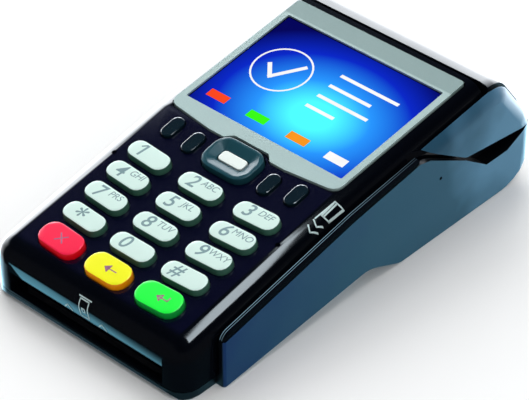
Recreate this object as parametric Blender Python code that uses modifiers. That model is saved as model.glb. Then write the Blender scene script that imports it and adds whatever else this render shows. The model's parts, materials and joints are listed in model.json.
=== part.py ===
"""Card payment terminal: a hand-held till unit with keypad, colour display, stripe and chip readers
and a receipt printer under a hinged paper door.

Metres, +Z up, standing on Z = 0. The keypad end faces -Y and the swipe slot is on +X.
"""

from math import atan2, cos, pi, radians, sin, tan

import bmesh
import bpy
from mathutils import Matrix, Vector

# Overall body, side view from the front face to the rear
KEYPAD_LENGTH = 0.0635
DISPLAY_LENGTH = 0.0587
DOOR_DEPTH = 0.0216
FOLD_HEIGHT = 0.0305
KEYPAD_TILT = radians(11.8)
DISPLAY_TILT = radians(8.1)
BODY_WIDTH = 0.0724
ROLL_RADIUS = 0.0056
CORNER_RADIUS = 0.0060
NOSE_LENGTH = 0.0125
SPLIT_HEIGHT = 0.0026
SPLIT_TILT = radians(10.3)

# Rear curve of the paper door, as places back from the display end and heights
CREST_BACK = 0.0075
CREST_DROP = 0.000654
CREST_RADIUS = 0.0095
SHOULDER_HEIGHT = 0.0195
SHOULDER_RADIUS = 0.0160

# Underside
FOOT_PROUD = 0.0003
TOE_CHAMFER = 0.0012
FOOT_LENGTH = 0.0135
ARCH_BACK = 0.0573
ARCH_RISE = 0.0056
ARCH_RADIUS = 0.0120
BULGE_RADIUS = 0.0080
HEEL_RADIUS = 0.0150

# Walls and clearances
TOP_WALL = 0.0024
SIDE_WALL = 0.0018
BOTTOM_WALL = 0.0016
GAP = 0.0003
OVERRUN = 0.0040

# Swipe slot, its outer rail and the side panel below the rail
SLOT_WIDTH = 0.0011
SLOT_FLOOR_RISE = 0.0012
PANEL_THICKNESS = 0.0019
PANEL_DROP = 0.0044
RAIL_DROP = 0.0024
RAIL_SETBACK = 0.0001
RAIL_CORNER = 0.0034
PANEL_CORNER = 0.0040
PIN_HOLE_RADIUS = 0.0006
PIN_HOLE_FORWARD = 0.0217
PIN_HOLE_HEIGHT = 0.0205

# Seam between the side panel and the door's wing, and the finger notch in it
WING_FORWARD = 0.0311
WING_DROP = 0.0041
KNEE_BACK = 0.0044
KNEE_DROP = 0.0010
SEAM_LOW_BACK = 0.0205
DOOR_SEAM = 0.0009
NOTCH_BACK = 0.0303
NOTCH_FLOOR_LENGTH = 0.0093
NOTCH_HEIGHT = 0.0138
NOTCH_DEPTH = 0.0044
NOTCH_WALL = 0.0015

# Door hinge
HINGE_INSET = 0.0026
HINGE_HEIGHT = 0.0196
HINGE_EDGE_RADIUS = 0.0016
HINGE_PIN_RADIUS = 0.0006
HINGE_BARREL_RADIUS = 0.0014
HINGE_BARREL_LENGTH = 0.0120
HINGE_SPREAD = 0.0260
NECK_DEPTH = 0.0050

# Display, bezel and window
PICTURE_SIDE_MARGIN = 0.0074
PICTURE_HEIGHT = 0.0432
PICTURE_FROM_FOLD = 0.0283
BEZEL_SIDE_MARGIN = 0.0022
BEZEL_SUNK = 0.0014
BEZEL_PROUD = 0.0006
BEZEL_LIP = 0.0006
BEZEL_FRONT_MARGIN = 0.0046
BEZEL_ARC_DIP = 0.0020
BEZEL_REAR_MARGIN = 0.0071
BEZEL_CORNER = 0.0030
NAV_NOTCH_DEPTH = 0.0022
WINDOW_THICKNESS = 0.0008
WINDOW_BORDER = 0.0011
PICTURE_CLEARANCE = 0.0001
LCD_THICKNESS = 0.0032
LCD_BORDER = 0.0012

# Keys, measured along the keypad face from the fold
KEY_SIDE_ROOM = 0.00895
KEY_SPACING = 0.0055
KEYS_ACROSS = 3
KEY_HEIGHT = 0.0064
COLOUR_KEY_HEIGHT = 0.0082
COLOUR_KEY_CORNER = 0.0036
KEY_PROUD = 0.0020
KEY_EDGE = 0.0006
KEY_TRAVEL = 0.0010
KEY_FLANGE = 0.0008
KEY_FLANGE_THICKNESS = 0.0008
FIRST_ROW = 0.0184
KEY_PITCH = 0.0090
COLOUR_PITCH = 0.0094
COLUMN_DRAW_IN = 0.0017
ROW_ARC_RADIUS = 0.3300
FUNCTION_KEY_WIDTH = 0.0042
FUNCTION_KEY_LENGTH = 0.0080
FUNCTION_KEY_PROUD = 0.0009
FUNCTION_KEY_DOWN = 0.0064
FUNCTION_INNER_SHARE = 0.705
FUNCTION_OUTER_SHARE = 1.15
FUNCTION_OUTER_RISE = 0.0012
NAV_WIDTH = 0.0172
NAV_HEIGHT = 0.0124
NAV_CORNER = 0.0044
NAV_DOWN = 0.0054
NAV_PROUD = 0.0018
NAV_DISH = 0.0011
NAV_RIM = 0.0008
NAV_ROCK_GAP = 0.0006
NAV_BOSS_THICKNESS = 0.0006
NAV_BOSS_INSET = 0.0060
SELECT_WIDTH = 0.0088
SELECT_HEIGHT = 0.0038
SELECT_CORNER = 0.0010
SHIELD_HOLE_RADIUS = 0.0008
SHIELD_HOLE_DEPTH = 0.0012
SHIELD_HOLE_INSET = 0.0057
SHIELD_HOLE_DOWN = 0.0213

# Keypad mat and main board
PAD_HEIGHT = 0.0006
PAD_WIDTH = 0.0070
PAD_DEPTH = 0.0030
MAT_THICKNESS = 0.0008
MAT_MARGIN = 0.0010
BOARD_THICKNESS = 0.0012
CHIP_HEIGHT = 0.0011
CHIP_SIDE = 0.0100
CHIP_SPACING = 0.0160
COIN_CELL_RADIUS = 0.0050
COIN_CELL_THICKNESS = 0.0016

# Chip card mouth and reader
MOUTH_SIDE = 0.0075
MOUTH_HEIGHT = 0.0046
MOUTH_BOTTOM = 0.0035
JAW_HEIGHT = 0.0131
JAW_DEPTH = 0.0012
THROAT_DEPTH = 0.0040
THROAT_WALL = 0.0009
CARD_TILT = radians(4.0)
CARD_GAP = 0.0011
READER_LENGTH = 0.0400
READER_THICKNESS = 0.0050

# Stripe reader head
HEAD_BACK = 0.0480
HEAD_LENGTH = 0.0110
HEAD_HEIGHT = 0.0066
HEAD_ABOVE_FLOOR = 0.0074
HEAD_THICKNESS = 0.0034
HEAD_PROUD = 0.0003
HEAD_TRAVEL = 0.0007
SPRING_THICKNESS = 0.0004
SPRING_OVERHANG = 0.0030
SPRING_POST = 0.0014

# Printer
PLATEN_BEHIND_SEAM = 0.0028
PLATEN_DROP = 0.0060
PLATEN_RADIUS = 0.0032
PLATEN_OVERHANG = 0.0003
SHAFT_RADIUS = 0.0012
SHAFT_CLEARANCE = 0.0003
LUG_THICKNESS = 0.0010
LUG_RADIUS = 0.0026
LUG_WAIST_SHARE = 0.7
LUG_HEEL_SHARE = 0.4
LUG_RISE_SHARE = 0.5
FRAME_PLATE = 0.0008
PRINT_HEAD_THICKNESS = 0.0040
PRINT_HEAD_HEIGHT = 0.0056
PRINT_HEAD_INSET = 0.0010
PRINT_HEAD_DROP = 0.0032
FRAME_CORNER = 0.0012
GEAR_MODULE = 0.0005
TOOTH_TIP_SHARE = 0.75
TOOTH_ROOT_SHARE = 1.05
TOOTH_ROOT_HALF_SHARE = 0.27
TOOTH_TIP_HALF_SHARE = 0.10
PLATEN_TEETH = 12
IDLER_TEETH = 30
PINION_TEETH = 10
IDLER_ANGLE = radians(225.0)
PINION_ANGLE = radians(178.0)
GEAR_WIDTH = 0.0013
GEAR_SIDE_GAP = 0.0007
STUD_RADIUS = 0.0010
MOTOR_RADIUS = 0.0045
MOTOR_LENGTH = 0.0120
MOTOR_SHAFT_RADIUS = 0.0007
EXIT_GAP = 0.0012
TEAR_BAR_DEPTH = 0.0016
TEAR_BAR_THICKNESS = 0.0005
TEAR_TOOTH = 0.0010

# Paper roll and its cradle
ROLL_SIDE_ROOM = 0.0059
PAPER_RADIUS = 0.0124
CORE_RADIUS = 0.0060
ROLL_BEHIND_SEAM = 0.0003
CRADLE_WALL = 0.0012
CRADLE_REACH = radians(62.0)
CRADLE_SIDE_GAP = 0.0005

# Battery and its cover
BATTERY_SIDE_ROOM = 0.0064
BATTERY_LENGTH = 0.0185
BATTERY_HEIGHT = 0.0155
BATTERY_CORNER = 0.0050
BATTERY_FROM_BULGE = 0.0020
BATTERY_TO_CRADLE = 0.0041
COVER_FORWARD = 0.0015
COVER_BORDER = 0.0020
COVER_STEP = 0.0007
COVER_THICKNESS = 0.0014
COVER_FLANGE = 0.0012

# Speaker, feet, contacts and screws
SPEAKER_RADIUS = 0.0080
SPEAKER_HEIGHT = 0.0035
SPEAKER_BEHIND_READER = 0.0011
SPEAKER_HOLE_RADIUS = 0.0008
SPEAKER_HOLE_CIRCLE = 0.0035
FOOT_SIDE_ROOM = 0.0082
FOOT_DEPTH = 0.0040
FOOT_SUNK = 0.0006
FRONT_FOOT_BACK = 0.0070
REAR_FOOT_FORWARD = 0.0185
CONTACT_PITCH = 0.0040
CONTACT_LENGTH = 0.0030
CONTACT_WIDTH = 0.0018
CONTACT_THICKNESS = 0.0010
CONTACT_BORDER = 0.0006
CONTACT_PROUD = 0.0002
CONTACT_FORWARD = 0.0290
CONTACT_COUNT = 4
SCREW_SIDE_ROOM = 0.0024
SCREW_RADIUS = 0.0007
SCREW_HEAD_RADIUS = 0.0013
SCREW_HEAD_THICKNESS = 0.0007
SCREW_LENGTH = 0.0080
SCREW_CLEARANCE = 0.0003
BOSS_RADIUS = 0.0017
BOSS_CLEARANCE = 0.0011
FRONT_SCREW_BACK = 0.0220
REAR_SCREW_BACK = 0.0640

# Counts that set how finely round shapes are drawn
ARC_STEPS = 4
ROUND_SIDES = 16
SMALL_SIDES = 10
HOLE_SIDES = 8
PAPER_SIDES = 24
CRADLE_STEPS = 10
SPEAKER_HOLE_COUNT = 6

# Places worked out from the driving dimensions
FRONT = -(KEYPAD_LENGTH + DISPLAY_LENGTH + DOOR_DEPTH) / 2
FOLD_Y = FRONT + KEYPAD_LENGTH
SEAM_Y = FOLD_Y + DISPLAY_LENGTH
REAR = SEAM_Y + DOOR_DEPTH
BASE = FOOT_PROUD
NOSE_Y = FRONT + NOSE_LENGTH
SLOT_INNER = BODY_WIDTH / 2
CAVITY_HALF = SLOT_INNER - SIDE_WALL
SLOT_OUTER = SLOT_INNER + SLOT_WIDTH
PANEL_OUTER = SLOT_OUTER + PANEL_THICKNESS
MIDDLE_X = (SLOT_INNER - PANEL_OUTER) / 2
CREST_HEIGHT = FOLD_HEIGHT + DISPLAY_LENGTH * tan(DISPLAY_TILT) - CREST_DROP
PLATEN_HEIGHT = CREST_HEIGHT - PLATEN_DROP
PICTURE_WIDTH = BODY_WIDTH - 2 * PICTURE_SIDE_MARGIN
BEZEL_HALF_WIDTH = PICTURE_WIDTH / 2 + BEZEL_SIDE_MARGIN
KEY_WIDTH = (BODY_WIDTH - 2 * KEY_SIDE_ROOM - (KEYS_ACROSS - 1) * KEY_SPACING) / KEYS_ACROSS
COLUMN_PITCH = KEY_WIDTH + KEY_SPACING
FUNCTION_INNER_X = COLUMN_PITCH * FUNCTION_INNER_SHARE
FUNCTION_OUTER_X = COLUMN_PITCH * FUNCTION_OUTER_SHARE
SHIELD_HOLE_X = SLOT_INNER - SHIELD_HOLE_INSET
MOUTH_WIDTH = BODY_WIDTH - 2 * MOUTH_SIDE
ROLL_WIDTH = 2 * (CAVITY_HALF - ROLL_SIDE_ROOM)
PLATEN_HALF_LENGTH = ROLL_WIDTH / 2 + PLATEN_OVERHANG
PRINT_HEAD_HALF_WIDTH = ROLL_WIDTH / 2 - PRINT_HEAD_INSET
BATTERY_WIDTH = 2 * (CAVITY_HALF - BATTERY_SIDE_ROOM)
FOOT_WIDTH = BODY_WIDTH - 2 * FOOT_SIDE_ROOM
SCREW_X = CAVITY_HALF - SCREW_SIDE_ROOM
READER_REAR = SIDE_WALL + GAP + THROAT_DEPTH + GAP + READER_LENGTH
SPEAKER_BACK = READER_REAR + SPEAKER_BEHIND_READER + SPEAKER_RADIUS
HINGE_Y = REAR - HINGE_INSET
DOOR_LOW = HINGE_HEIGHT - HINGE_EDGE_RADIUS
DOOR_FRONT = SEAM_Y + EXIT_GAP
WING_Y = SEAM_Y - WING_FORWARD
ARCH_Y = FRONT + ARCH_BACK + FOOT_LENGTH
PLATEN_Y = SEAM_Y + PLATEN_BEHIND_SEAM
ROLL_Y = SEAM_Y + ROLL_BEHIND_SEAM
CRADLE_FRONT_Y = ROLL_Y - PAPER_RADIUS - GAP - CRADLE_WALL
BATTERY_REAR_Y = CRADLE_FRONT_Y - BATTERY_TO_CRADLE
BULGE_Y = BATTERY_REAR_Y - BATTERY_LENGTH - BATTERY_FROM_BULGE
ROLL_HEIGHT = BASE + BOTTOM_WALL + GAP + CRADLE_WALL + GAP + PAPER_RADIUS
PRINT_FACE_Y = PLATEN_Y - PLATEN_RADIUS - GAP
GEAR_X = -(CAVITY_HALF - GEAR_SIDE_GAP - GEAR_WIDTH / 2)
PLATE_X = abs(GEAR_X) - GEAR_WIDTH / 2 - GAP - FRAME_PLATE
FLANGE_DROP = TOP_WALL + GAP
PAD_DROP = FLANGE_DROP + KEY_FLANGE_THICKNESS + KEY_TRAVEL + GAP
MAT_DROP = PAD_DROP + PAD_HEIGHT
BOARD_DROP = MAT_DROP + MAT_THICKNESS + GAP
IDLER_REACH = GEAR_MODULE * (PLATEN_TEETH + IDLER_TEETH) / 2
PINION_REACH = GEAR_MODULE * (PINION_TEETH + IDLER_TEETH) / 2
IDLER_Y = PLATEN_Y + IDLER_REACH * cos(IDLER_ANGLE)
IDLER_Z = PLATEN_HEIGHT + IDLER_REACH * sin(IDLER_ANGLE)
PINION_Y = IDLER_Y + PINION_REACH * cos(PINION_ANGLE)
PINION_Z = IDLER_Z + PINION_REACH * sin(PINION_ANGLE)

PARTS = "card_payment_terminal"
CUTTERS = "cutters"


def clear_scene():
    """Remove every object of the scene that the script starts in."""
    for obj in list(bpy.data.objects):
        bpy.data.objects.remove(obj, do_unlink=True)


def collection(name):
    """The named collection, made and linked to the scene the first time."""
    found = bpy.data.collections.get(name)
    if found is None:
        found = bpy.data.collections.new(name)
        bpy.context.scene.collection.children.link(found)
    return found


def material(name, colour, roughness, metallic=0.0):
    """A plain surface with one colour, shared by the pieces that name it."""
    found = bpy.data.materials.get(name)
    if found is None:
        found = bpy.data.materials.new(name)
        found.use_nodes = True
        shader = found.node_tree.nodes["Principled BSDF"]
        shader.inputs["Base Color"].default_value = (*colour, 1.0)
        shader.inputs["Roughness"].default_value = roughness
        shader.inputs["Metallic"].default_value = metallic
        found.diffuse_color = (*colour, 1.0)
    return found


def gloss_black():
    """Polished black housing plastic."""
    return material("gloss_black_plastic", (0.012, 0.014, 0.022), 0.12)


def satin_black():
    """Satin blue-black plastic of the lower shell and the door."""
    return material("satin_black_plastic", (0.030, 0.045, 0.062), 0.38)


def dark_rubber():
    """Soft black rubber."""
    return material("dark_rubber", (0.020, 0.020, 0.022), 0.80)


def steel():
    """Bright machined steel."""
    return material("steel", (0.60, 0.61, 0.62), 0.30, 1.0)


def white_key():
    """Pale mint-white key plastic."""
    return material("white_key_plastic", (0.66, 0.80, 0.75), 0.35)


def engineering_plastic():
    """Grey moulded plastic of the inner frames."""
    return material("grey_frame_plastic", (0.12, 0.12, 0.13), 0.55)


def top_height(y):
    """Height of the keypad and display faces at a place along the body."""
    tilt = KEYPAD_TILT if y < FOLD_Y else DISPLAY_TILT
    return FOLD_HEIGHT + (y - FOLD_Y) * tan(tilt)


def split_height(y):
    """Height of the seam between the upper and the lower housing."""
    return SPLIT_HEIGHT + max(y - NOSE_Y, 0) * tan(SPLIT_TILT)


def rounded(corners, steps=ARC_STEPS):
    """An outline whose corners (u, v, radius) are turned into arcs."""
    outline = []
    for index, (u, v, radius) in enumerate(corners):
        here = Vector((u, v))
        if radius == 0:
            outline.append((u, v))
            continue
        before = Vector(corners[index - 1][:2]) - here
        after = Vector(corners[(index + 1) % len(corners)][:2]) - here
        half_angle = before.angle(after) / 2
        reach = min(radius / tan(half_angle), before.length / 2, after.length / 2)
        start = here + before.normalized() * reach
        end = here + after.normalized() * reach
        centre = here + (before.normalized() + after.normalized()).normalized() * reach / cos(half_angle)
        first = atan2(start.y - centre.y, start.x - centre.x)
        turn = atan2(end.y - centre.y, end.x - centre.x) - first
        turn = (turn + pi) % (2 * pi) - pi
        size = (start - centre).length
        for step in range(steps + 1):
            angle = first + turn * step / steps
            outline.append((centre.x + size * cos(angle), centre.y + size * sin(angle)))
    return outline


def rounded_box(width, height, corner, steps=ARC_STEPS):
    """A centred rectangle with rounded corners."""
    u = width / 2
    v = height / 2
    return rounded([(-u, -v, corner), (u, -v, corner), (u, v, corner), (-u, v, corner)], steps)


def ring_outline(radius, sides=ROUND_SIDES):
    """A circle about the origin."""
    return [(radius * cos(2 * pi * step / sides), radius * sin(2 * pi * step / sides))
            for step in range(sides)]


def tidy(mesh):
    """Weld the loose caps of a mesh and turn its faces outwards."""
    shape = bmesh.new()
    shape.from_mesh(mesh)
    bmesh.ops.remove_doubles(shape, verts=shape.verts, dist=GAP / 1000)
    face_outwards(shape)
    shape.to_mesh(mesh)
    shape.free()


def face_outwards(shape):
    """Turn the faces of a closed shape outwards."""
    bmesh.ops.recalc_face_normals(shape, faces=shape.faces)
    if shape.calc_volume(signed=True) < 0:
        bmesh.ops.reverse_faces(shape, faces=shape.faces)


def outline_mesh(name, outline, thickness):
    """A flat outline with a thickness, from a filled two-dimensional curve."""
    curve = bpy.data.curves.new(name, "CURVE")
    curve.dimensions = "2D"
    curve.fill_mode = "BOTH"
    curve.extrude = thickness / 2
    spline = curve.splines.new("POLY")
    spline.points.add(len(outline) - 1)
    for point, (u, v) in zip(spline.points, outline):
        point.co = (u, v, 0, 1)
    spline.use_cyclic_u = True
    holder = bpy.data.objects.new(name, curve)
    bpy.context.scene.collection.objects.link(holder)
    graph = bpy.context.evaluated_depsgraph_get()
    mesh = bpy.data.meshes.new_from_object(holder.evaluated_get(graph))
    bpy.data.objects.remove(holder)
    mesh.name = name
    tidy(mesh)
    return mesh


PLANES = {
    "XY": Matrix.Identity(4),
    "YZ": Matrix(((0, 0, 1, 0), (1, 0, 0, 0), (0, 1, 0, 0), (0, 0, 0, 1))),
    "XZ": Matrix(((1, 0, 0, 0), (0, 0, -1, 0), (0, 1, 0, 0), (0, 0, 0, 1))),
}
ACROSS = {"XY": Vector((0, 0, 1)), "YZ": Vector((1, 0, 0)), "XZ": Vector((0, 1, 0))}


def place(name, mesh, surface=None, parent=None):
    """An object for a mesh, among the parts if it has a surface and else among the cutters."""
    obj = bpy.data.objects.new(name, mesh)
    if surface is None:
        collection(CUTTERS).objects.link(obj)
        obj.hide_render = True
        obj.display_type = "WIRE"
    else:
        collection(PARTS).objects.link(obj)
        mesh.materials.clear()
        mesh.materials.append(surface)
    obj.parent = parent
    return obj


def prism(name, outline, low, high, plane, surface=None, parent=None):
    """An outline in the given plane, extruded from low to high across it."""
    mesh = outline_mesh(name, outline, high - low)
    mesh.transform(Matrix.Translation(ACROSS[plane] * (low + high) / 2) @ PLANES[plane])
    return place(name, mesh, surface, parent)


def box(name, low, high, surface=None, parent=None):
    """A block between two opposite corners."""
    mesh = bpy.data.meshes.new(name)
    shape = bmesh.new()
    size = Vector(high) - Vector(low)
    centre = (Vector(high) + Vector(low)) / 2
    bmesh.ops.create_cube(shape, size=1, matrix=Matrix.Translation(centre) @ Matrix.Diagonal((*size, 1)))
    shape.to_mesh(mesh)
    shape.free()
    return place(name, mesh, surface, parent)


def joined(name, objects, surface=None, parent=None):
    """One object that holds the shapes of several, which are removed."""
    shape = bmesh.new()
    for obj in objects:
        copy = obj.data.copy()
        copy.transform(obj.matrix_basis)
        shape.from_mesh(copy)
        bpy.data.meshes.remove(copy)
        bpy.data.objects.remove(obj)
    mesh = bpy.data.meshes.new(name)
    shape.to_mesh(mesh)
    shape.free()
    return place(name, mesh, surface, parent)


def combine(target, other, operation="DIFFERENCE"):
    """A Boolean of one object with another."""
    step = target.modifiers.new(other.name, "BOOLEAN")
    step.operation = operation
    step.solver = "EXACT"
    step.object = other


def soften(obj, width, steps=2, angle=radians(40)):
    """Rounded edges where two faces meet sharply."""
    step = obj.modifiers.new("rounded edges", "BEVEL")
    step.width = width
    step.segments = steps
    step.limit_method = "ANGLE"
    step.angle_limit = angle


def smooth(obj, angle=radians(35)):
    """Smooth shading on the round faces."""
    obj.data.shade_smooth()
    obj.data.set_sharp_from_angle(angle=angle)


def empty(name, location, rotation=(0, 0, 0), parent=None):
    """A frame that pieces are placed in."""
    obj = bpy.data.objects.new(name, None)
    collection(PARTS).objects.link(obj)
    obj.location = location
    obj.rotation_euler = rotation
    obj.parent = parent
    return obj


def rolled_body(name, front, rear, right, inset, roll, surface=None):
    """The outer or inner form: the side outline across the width, its long top edges rolled off."""
    drop = TOP_WALL / cos(KEYPAD_TILT) if inset else 0
    outline = rounded([
        (front, -OVERRUN, 0),
        (front, top_height(front) - drop, 0),
        (FOLD_Y, FOLD_HEIGHT - drop, 0),
        (SEAM_Y, top_height(SEAM_Y) - drop, 0),
        (SEAM_Y + CREST_BACK - inset / 2, CREST_HEIGHT - drop, CREST_RADIUS - inset),
        (rear, SHOULDER_HEIGHT - inset / 2, SHOULDER_RADIUS - inset),
        (rear, -OVERRUN, 0),
    ])
    mesh = bpy.data.meshes.new(name)
    shape = bmesh.new()
    face = shape.faces.new([shape.verts.new((right, y, z)) for y, z in outline])
    swept = bmesh.ops.extrude_face_region(shape, geom=[face])["geom"]
    left = inset - SLOT_INNER
    for vert in [item for item in swept if isinstance(item, bmesh.types.BMVert)]:
        vert.co.x = left
    face_outwards(shape)
    rolled = []
    for edge in shape.edges:
        one, other = edge.verts
        crosswise = abs(one.co.x - other.co.x) > roll
        at_front = max(one.co.y, other.co.y) < front + GAP
        low, high = sorted((one.co.z, other.co.z))
        if high > 0 and (not crosswise or (at_front and low > 0)):
            rolled.append(edge)
    bmesh.ops.bevel(shape, geom=rolled, offset=roll, segments=ARC_STEPS, profile=0.5, affect="EDGES")
    face_outwards(shape)
    shape.to_mesh(mesh)
    shape.free()
    return place(name, mesh, surface)


def seam_line(gap=0.0):
    """Seam between the side panel and the door's wing; the gap lifts it to the door's lower edge."""
    low_y = WING_Y + SEAM_LOW_BACK
    wing_top = top_height(WING_Y) - WING_DROP
    return [
        (WING_Y, wing_top + gap, 0),
        (WING_Y + KNEE_BACK, wing_top - KNEE_DROP + gap, PANEL_CORNER),
        (low_y, split_height(low_y) + gap, PANEL_CORNER),
        (HINGE_Y - HINGE_BARREL_RADIUS - GAP, DOOR_LOW - GAP + min(gap, GAP), 0),
    ]


def key_places():
    """Name, place, turn and colour of each key, row by row."""
    names = [["key_1", "key_2", "key_3"], ["key_4", "key_5", "key_6"], ["key_7", "key_8", "key_9"],
             ["key_star", "key_0", "key_hash"], ["key_cancel", "key_clear", "key_enter"]]
    last = FIRST_ROW + 3 * KEY_PITCH + COLOUR_PITCH
    places = []
    for row, row_names in enumerate(names):
        coloured = row == len(names) - 1
        down = last if coloured else FIRST_ROW + row * KEY_PITCH
        pitch = COLUMN_PITCH - COLUMN_DRAW_IN * (down - FIRST_ROW) / (last - FIRST_ROW)
        for column, name in enumerate(row_names):
            x = (column - 1) * pitch
            lift = x * x / (2 * ROW_ARC_RADIUS)
            places.append((name, x, lift - down, x / ROW_ARC_RADIUS, coloured))
    return places


def function_places():
    """Name and place of the four function keys."""
    outer = FUNCTION_OUTER_RISE - FUNCTION_KEY_DOWN
    return [
        ("function_key_1", -FUNCTION_OUTER_X, outer),
        ("function_key_2", -FUNCTION_INNER_X, -FUNCTION_KEY_DOWN),
        ("function_key_3", FUNCTION_INNER_X, -FUNCTION_KEY_DOWN),
        ("function_key_4", FUNCTION_OUTER_X, outer),
    ]


def key_outline(coloured, grow=0.0):
    """Outline of a key cap, grown for its hole or its flange."""
    if coloured:
        return rounded_box(KEY_WIDTH + 2 * grow, COLOUR_KEY_HEIGHT + 2 * grow, COLOUR_KEY_CORNER + grow)
    return rounded_box(KEY_WIDTH + 2 * grow, KEY_HEIGHT + 2 * grow, KEY_HEIGHT / 2 + grow - GAP)


def function_outline(grow=0.0):
    """Outline of a function key."""
    width = FUNCTION_KEY_WIDTH + 2 * grow
    return rounded_box(width, FUNCTION_KEY_LENGTH + 2 * grow, width / 2 - GAP / 2)


def keypad_holes(keypad):
    """Every opening of the keypad face as one cutter."""
    holes = []
    for name, x, down, turn, coloured in key_places():
        hole = prism(name + "_hole", key_outline(coloured, GAP), -TOP_WALL - OVERRUN, OVERRUN, "XY")
        hole.matrix_basis = Matrix.Translation((x, down, 0)) @ Matrix.Rotation(turn, 4, "Z")
        holes.append(hole)
    for name, x, down in function_places():
        hole = prism(name + "_hole", function_outline(GAP), -TOP_WALL - OVERRUN, OVERRUN, "XY")
        hole.location = (x, down, 0)
        holes.append(hole)
    nav = prism("nav_hole", rounded_box(NAV_WIDTH + 2 * GAP, NAV_HEIGHT + 2 * GAP, NAV_CORNER),
                -TOP_WALL - OVERRUN, OVERRUN, "XY")
    nav.location = (0, -NAV_DOWN, 0)
    holes.append(nav)
    for side in (-1, 1):
        clip = prism("shield_clip_hole", ring_outline(SHIELD_HOLE_RADIUS, SMALL_SIDES),
                     -SHIELD_HOLE_DEPTH, OVERRUN, "XY")
        clip.location = (side * SHIELD_HOLE_X, -SHIELD_HOLE_DOWN, 0)
        holes.append(clip)
    return joined("keypad_holes", holes, parent=keypad)


def bezel_outline(grow=0.0):
    """Outline of the silver bezel about the middle of the picture, notched for the navigation key."""
    front = -PICTURE_HEIGHT / 2 - BEZEL_FRONT_MARGIN - grow
    rear = PICTURE_HEIGHT / 2 + BEZEL_REAR_MARGIN + grow
    side = BEZEL_HALF_WIDTH + grow
    low = front - BEZEL_ARC_DIP
    notch_top = low + NAV_NOTCH_DEPTH
    notch_half = NAV_WIDTH / 2 - grow
    notch_top_half = notch_half - NAV_NOTCH_DEPTH
    arc_half = side - BEZEL_CORNER
    return rounded([
        (-side, rear, BEZEL_CORNER / 3),
        (-side, front, BEZEL_CORNER),
        (-arc_half / 2, low, 0),
        (-notch_half, low, NAV_NOTCH_DEPTH / 4),
        (-notch_top_half, notch_top, NAV_NOTCH_DEPTH / 2),
        (notch_top_half, notch_top, NAV_NOTCH_DEPTH / 2),
        (notch_half, low, NAV_NOTCH_DEPTH / 4),
        (arc_half / 2, low, 0),
        (side, front, BEZEL_CORNER),
        (side, rear, BEZEL_CORNER / 3),
    ], 3)


def upper_housing(keypad, display):
    """Glossy top shell: nose, keypad face, display deck and side walls."""
    shell = rolled_body("upper_housing", FRONT, REAR, SLOT_INNER, 0, ROLL_RADIUS, gloss_black())
    far = PANEL_OUTER + OVERRUN
    low_y, low_z = seam_line(GAP)[2][:2]
    rear_y, rear_z = seam_line(GAP)[3][:2]
    below = [(FRONT - OVERRUN, SPLIT_HEIGHT + GAP), (NOSE_Y, SPLIT_HEIGHT + GAP), (low_y, low_z),
             (rear_y, rear_z), (rear_y, -2 * OVERRUN), (FRONT - OVERRUN, -2 * OVERRUN)]
    combine(shell, prism("below_split", below, -far, far, "YZ"))
    behind = box("behind_seam", (-far, SEAM_Y, -2 * OVERRUN), (far, REAR + OVERRUN, CREST_HEIGHT + OVERRUN))
    combine(shell, behind)
    combine(shell, rolled_body("upper_cavity", FRONT + SIDE_WALL, REAR - SIDE_WALL, CAVITY_HALF, SIDE_WALL,
                               ROLL_RADIUS - SIDE_WALL))
    for boss in screw_bosses():
        combine(shell, boss, "UNION")
    combine(shell, keypad_holes(keypad))
    combine(shell, prism("bezel_pocket", bezel_outline(GAP), -BEZEL_SUNK, OVERRUN, "XY", parent=display))
    combine(shell, prism("picture_opening", picture_outline(PICTURE_CLEARANCE), -TOP_WALL - OVERRUN, OVERRUN,
                         "XY", parent=display))
    combine(shell, card_mouth())
    combine(shell, stripe_window())
    smooth(shell)
    return shell


def picture_outline(grow):
    """Outline of the picture, grown by a border."""
    return rounded_box(PICTURE_WIDTH + 2 * grow, PICTURE_HEIGHT + 2 * grow, GAP, 1)


def card_mouth():
    """The mouth for a chip card, with the sloping jaw above it."""
    top = MOUTH_BOTTOM + MOUTH_HEIGHT
    side = [(FRONT - OVERRUN, MOUTH_BOTTOM), (FRONT + SIDE_WALL + OVERRUN, MOUTH_BOTTOM),
            (FRONT + SIDE_WALL + OVERRUN, top), (FRONT + JAW_DEPTH, top), (FRONT, JAW_HEIGHT),
            (FRONT - OVERRUN, JAW_HEIGHT + OVERRUN)]
    return prism("card_mouth_cut", side, -MOUTH_WIDTH / 2, MOUTH_WIDTH / 2, "YZ")


def stripe_centre():
    """Middle of the stripe reader's head beside the swipe slot."""
    y = FRONT + HEAD_BACK
    return y, split_height(y) + SLOT_FLOOR_RISE + HEAD_ABOVE_FLOOR


def stripe_window():
    """Opening of the slot wall for the stripe head."""
    y, z = stripe_centre()
    reach = HEAD_LENGTH / 2 + GAP
    rise = HEAD_HEIGHT / 2 + GAP
    return box("stripe_window", (CAVITY_HALF - GAP, y - reach, z - rise),
               (SLOT_INNER + GAP, y + reach, z + rise))


def screw_places():
    """Places of the four housing screws."""
    backs = (FRONT_SCREW_BACK, REAR_SCREW_BACK)
    return [(side * SCREW_X, FRONT + back) for side in (-1, 1) for back in backs]


def floor_height(y):
    """Height of the underside at a place along the body."""
    end = FRONT + FOOT_LENGTH
    if y <= end or y >= BULGE_Y:
        return BASE
    if y <= ARCH_Y:
        return BASE + ARCH_RISE * (y - end) / (ARCH_Y - end)
    return BASE + ARCH_RISE * (BULGE_Y - y) / (BULGE_Y - ARCH_Y)


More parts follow.
